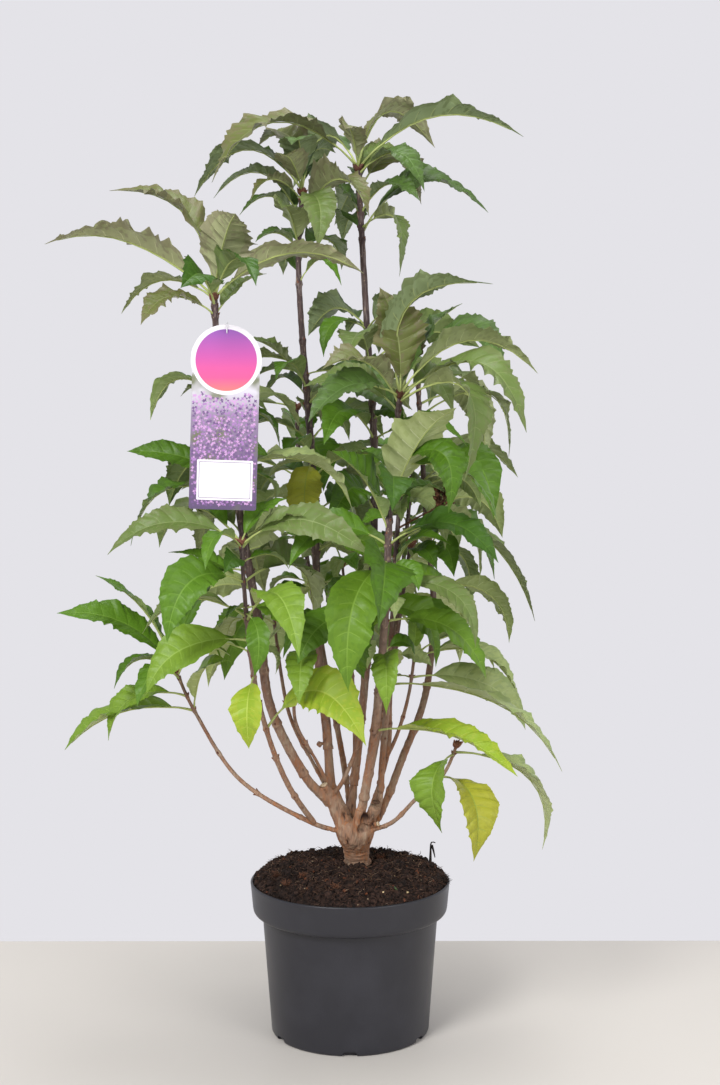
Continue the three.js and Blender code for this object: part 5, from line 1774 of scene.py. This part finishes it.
def buildTag():
    card, disc, field, petals = tagMaterials()
    half, head = tag["width"] / 2, tag["head"]
    meet = math.degrees(math.asin(half / head))
    corner, foot = tagLook["corner"], -tag["length"] + tagLook["corner"]
    base = arc((-half + corner, foot), corner, 180, 270, 4) + arc((half - corner, foot), corner, 270, 360, 4)
    outlineXz = arc((0, 0), head, meet - 90, 270 - meet, 60) + base
    stock = newStock()
    front = -tag["thickness"] / 2
    plate(stock, outlineXz, front, -front, 0)
    face, back = front - tagLook["proud"], front + tagLook["printDepth"]
    plate(stock, arc((0, 0), tagLook["discRadius"], 0, 354, 59), face, back, 1)
    ring = head - 1
    spread = math.degrees(math.asin(min(1, half / ring)))
    plate(stock, base + arc((0, 0), ring, spread - 90, -90 - spread, 24), face, back, 2)
    draw = seeded(77)
    low, high = tagLook["blossom"]
    for k in range(tagLook["blossoms"]):
        away = tagLook["blossomGap"] * math.sqrt(k + 0.5)
        turn = math.radians(tagLook["turnPerBlossom"] * k)
        x = away * math.cos(turn) + 3 * (draw() - 0.5)
        z = tagLook["fieldMiddle"] + away * math.sin(turn) + 3 * (draw() - 0.5)
        spin, slot, radius = 90 * draw(), 3 + int(3 * draw()), low + (high - low) * draw()
        isInHead = math.hypot(x, z) < ring + tagLook["headGap"]
        if isInHead or abs(x) > half - tagLook["edgeGap"] or z < foot + tagLook["footGap"]:
            continue
        star = []
        for a in range(8):
            reach = radius * (1 if a % 2 else tagLook["blossomWaist"])
            aim = math.radians(spin + 45 * a)
            star.append((x + reach * math.cos(aim), z + reach * math.sin(aim)))
        plate(stock, star, face - 0.06 - 0.02 * draw(), back, slot)
    left, top, right, bottom = tagLook["label"]
    for inset, proud, slot in tagLook["labelPlates"]:
        shape = roundedBox(left + inset, top - inset, right - inset, bottom + inset, tagLook["labelCorner"])
        plate(stock, shape, face - proud, back, slot)
    piece = makeMesh("tag_print", stock, [card, disc, field, *petals])
    piece.data.polygons.foreach_set("use_smooth", np.zeros(len(piece.data.polygons), bool))
    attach(piece, "root")
    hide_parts("tag_card")
    print("tag:", len(piece.data.polygons), "faces")


buildTag()


# Tie: a smooth loop through the tag's hole, round the stem and back over the tag's top.
def buildTie():
    stem = stems["tall_left"]
    radius, play = tag["strapRadius"], tag["strapPlay"]
    slot = onTag(0, tag["slotRise"] + tag["slot"][1] / 2 - radius - play)
    top = onTag(0, tag["head"] + radius + play)
    behind = placeAt(stem["path"], wayToHeight(stem["path"], 0.5 * (slot[2] + top[2])))
    away = unit((behind[0] - slot[0], behind[1] - slot[1], 0))
    beside = (away[1], -away[0], 0)
    turn = radiusAt(stem, 0.9 * stem["path"]["length"]) + radius + 2 * play
    proud = tag["thickness"] / 2 + radius + play
    places = [
        plus(slot, (0, -proud, 0)), plus(slot, (0, 3, 0)), plus(behind, times(beside, turn)),
        plus(behind, times(away, turn)), plus(behind, times(beside, -turn)), plus(top, (0, 3, play)),
        plus(top, (0, -0.3, play)), plus(top, (0, -proud - 0.3, -3)),
    ]
    curve = bpy.data.curves.new("tag_tie", "CURVE")
    curve.dimensions, curve.bevel_depth, curve.bevel_resolution = "3D", radius * mm, 3
    spline = curve.splines.new("BEZIER")
    spline.bezier_points.add(len(places) - 1)
    for point, place in zip(spline.bezier_points, places):
        point.co = Vector(place) * mm
        point.handle_left_type = point.handle_right_type = "AUTO"
    spline.use_cyclic_u = True
    curve.resolution_u = 8
    rough = bpy.data.objects.new("tag_tie_curve", curve)
    bpy.context.scene.collection.objects.link(rough)
    graph = bpy.context.evaluated_depsgraph_get()
    mesh = bpy.data.meshes.new_from_object(rough.evaluated_get(graph), depsgraph=graph)
    bpy.data.objects.remove(rough)
    plastic, _, _ = newMaterial("soft_plastic_tie", **{
        "Base Color": linear("#e6e4ea"), "Roughness": 0.35, "Specular IOR Level": 0.5})
    mesh.materials.clear()
    mesh.materials.append(plastic)
    piece = bpy.data.objects.new("tag_tie", mesh)
    bpy.context.scene.collection.objects.link(piece)
    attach(piece, "root")
    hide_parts("tag_strap")
    print("tie:", len(mesh.polygons), "faces")


buildTie()


# Pale floor, soft studio light and the camera at the photograph's angle
studio = {
    "floor": "#d6d1ca", "wall": "#e4e3e8", "ceiling": "#747479", "wallReach": (0.38, 0.85),
    "lights": (
        ("key", (-1.6, -2.8, 3.0), (0.0, 0.0, 0.7), 1.5, 112),
        ("fill", (2.4, -2.6, 1.6), (0.0, 0.0, 0.6), 2.0, 40),
        ("top", (0.3, 0.2, 3.4), (0.0, 0.0, 0.6), 1.8, 45),
    ),
    "camera": (0.01446, -2.275, 0.8533), "pitch": 4.148, "roll": 0.05, "focal": 1645.7, "photoHeight": 1085,
    "sensor": 36, "floorSides": 4000, "floorFront": -4500, "floorBack": 389,
}


def buildStudio():
    scene = bpy.context.scene
    scene.view_settings.view_transform = "Standard"
    world = bpy.data.worlds.new("studio")
    scene.world = world
    world.use_nodes = True
    tree = world.node_tree
    sky = addNode(tree, "ShaderNodeTexCoord").outputs["Generated"]
    way = addNode(tree, "ShaderNodeSeparateXYZ", {0: sky})
    steep = addNode(tree, "ShaderNodeMath", {0: way.outputs["Z"]}, operation="ABSOLUTE")
    share = addNode(tree, "ShaderNodeMapRange",
                    {"Value": steep.outputs[0], "From Min": studio["wallReach"][0],
                     "From Max": studio["wallReach"][1]})
    colour = addNode(tree, "ShaderNodeMix", {0: share.outputs["Result"], 6: linear(studio["wall"]),
                                             7: linear(studio["ceiling"])}, data_type="RGBA")
    tree.links.new(colour.outputs[2], tree.nodes["Background"].inputs["Color"])
    for name, place, target, width, watts in studio["lights"]:
        lamp = bpy.data.lights.new(name, "AREA")
        lamp.shape, lamp.size, lamp.energy = "DISK", width, watts
        light = bpy.data.objects.new(name, lamp)
        light.location = place
        light.rotation_euler = (Vector(target) - Vector(place)).to_track_quat("-Z", "Y").to_euler()
        scene.collection.objects.link(light)
    stock = newStock()
    side, front, back = studio["floorSides"], studio["floorFront"], studio["floorBack"]
    box = [(-side, front, 0), (side, front, 0), (side, back, 0), (-side, back, 0)]
    addPart(stock, box, [0, 1, 2, 3], [4], 0)
    material, _, _ = newMaterial("pale_floor", **{"Base Color": linear(studio["floor"]), "Roughness": 0.6})
    floor = makeMesh("floor", stock, [material])
    lens = bpy.data.cameras.new("camera")
    lens.sensor_width = studio["sensor"]
    lens.lens = studio["sensor"] * studio["focal"] / studio["photoHeight"]
    camera = bpy.data.objects.new("camera", lens)
    camera.location = studio["camera"]
    camera.rotation_euler = (math.radians(90 - studio["pitch"]), math.radians(studio["roll"]), 0)
    scene.collection.objects.link(camera)
    scene.camera = camera
    print("studio ready")


buildStudio()
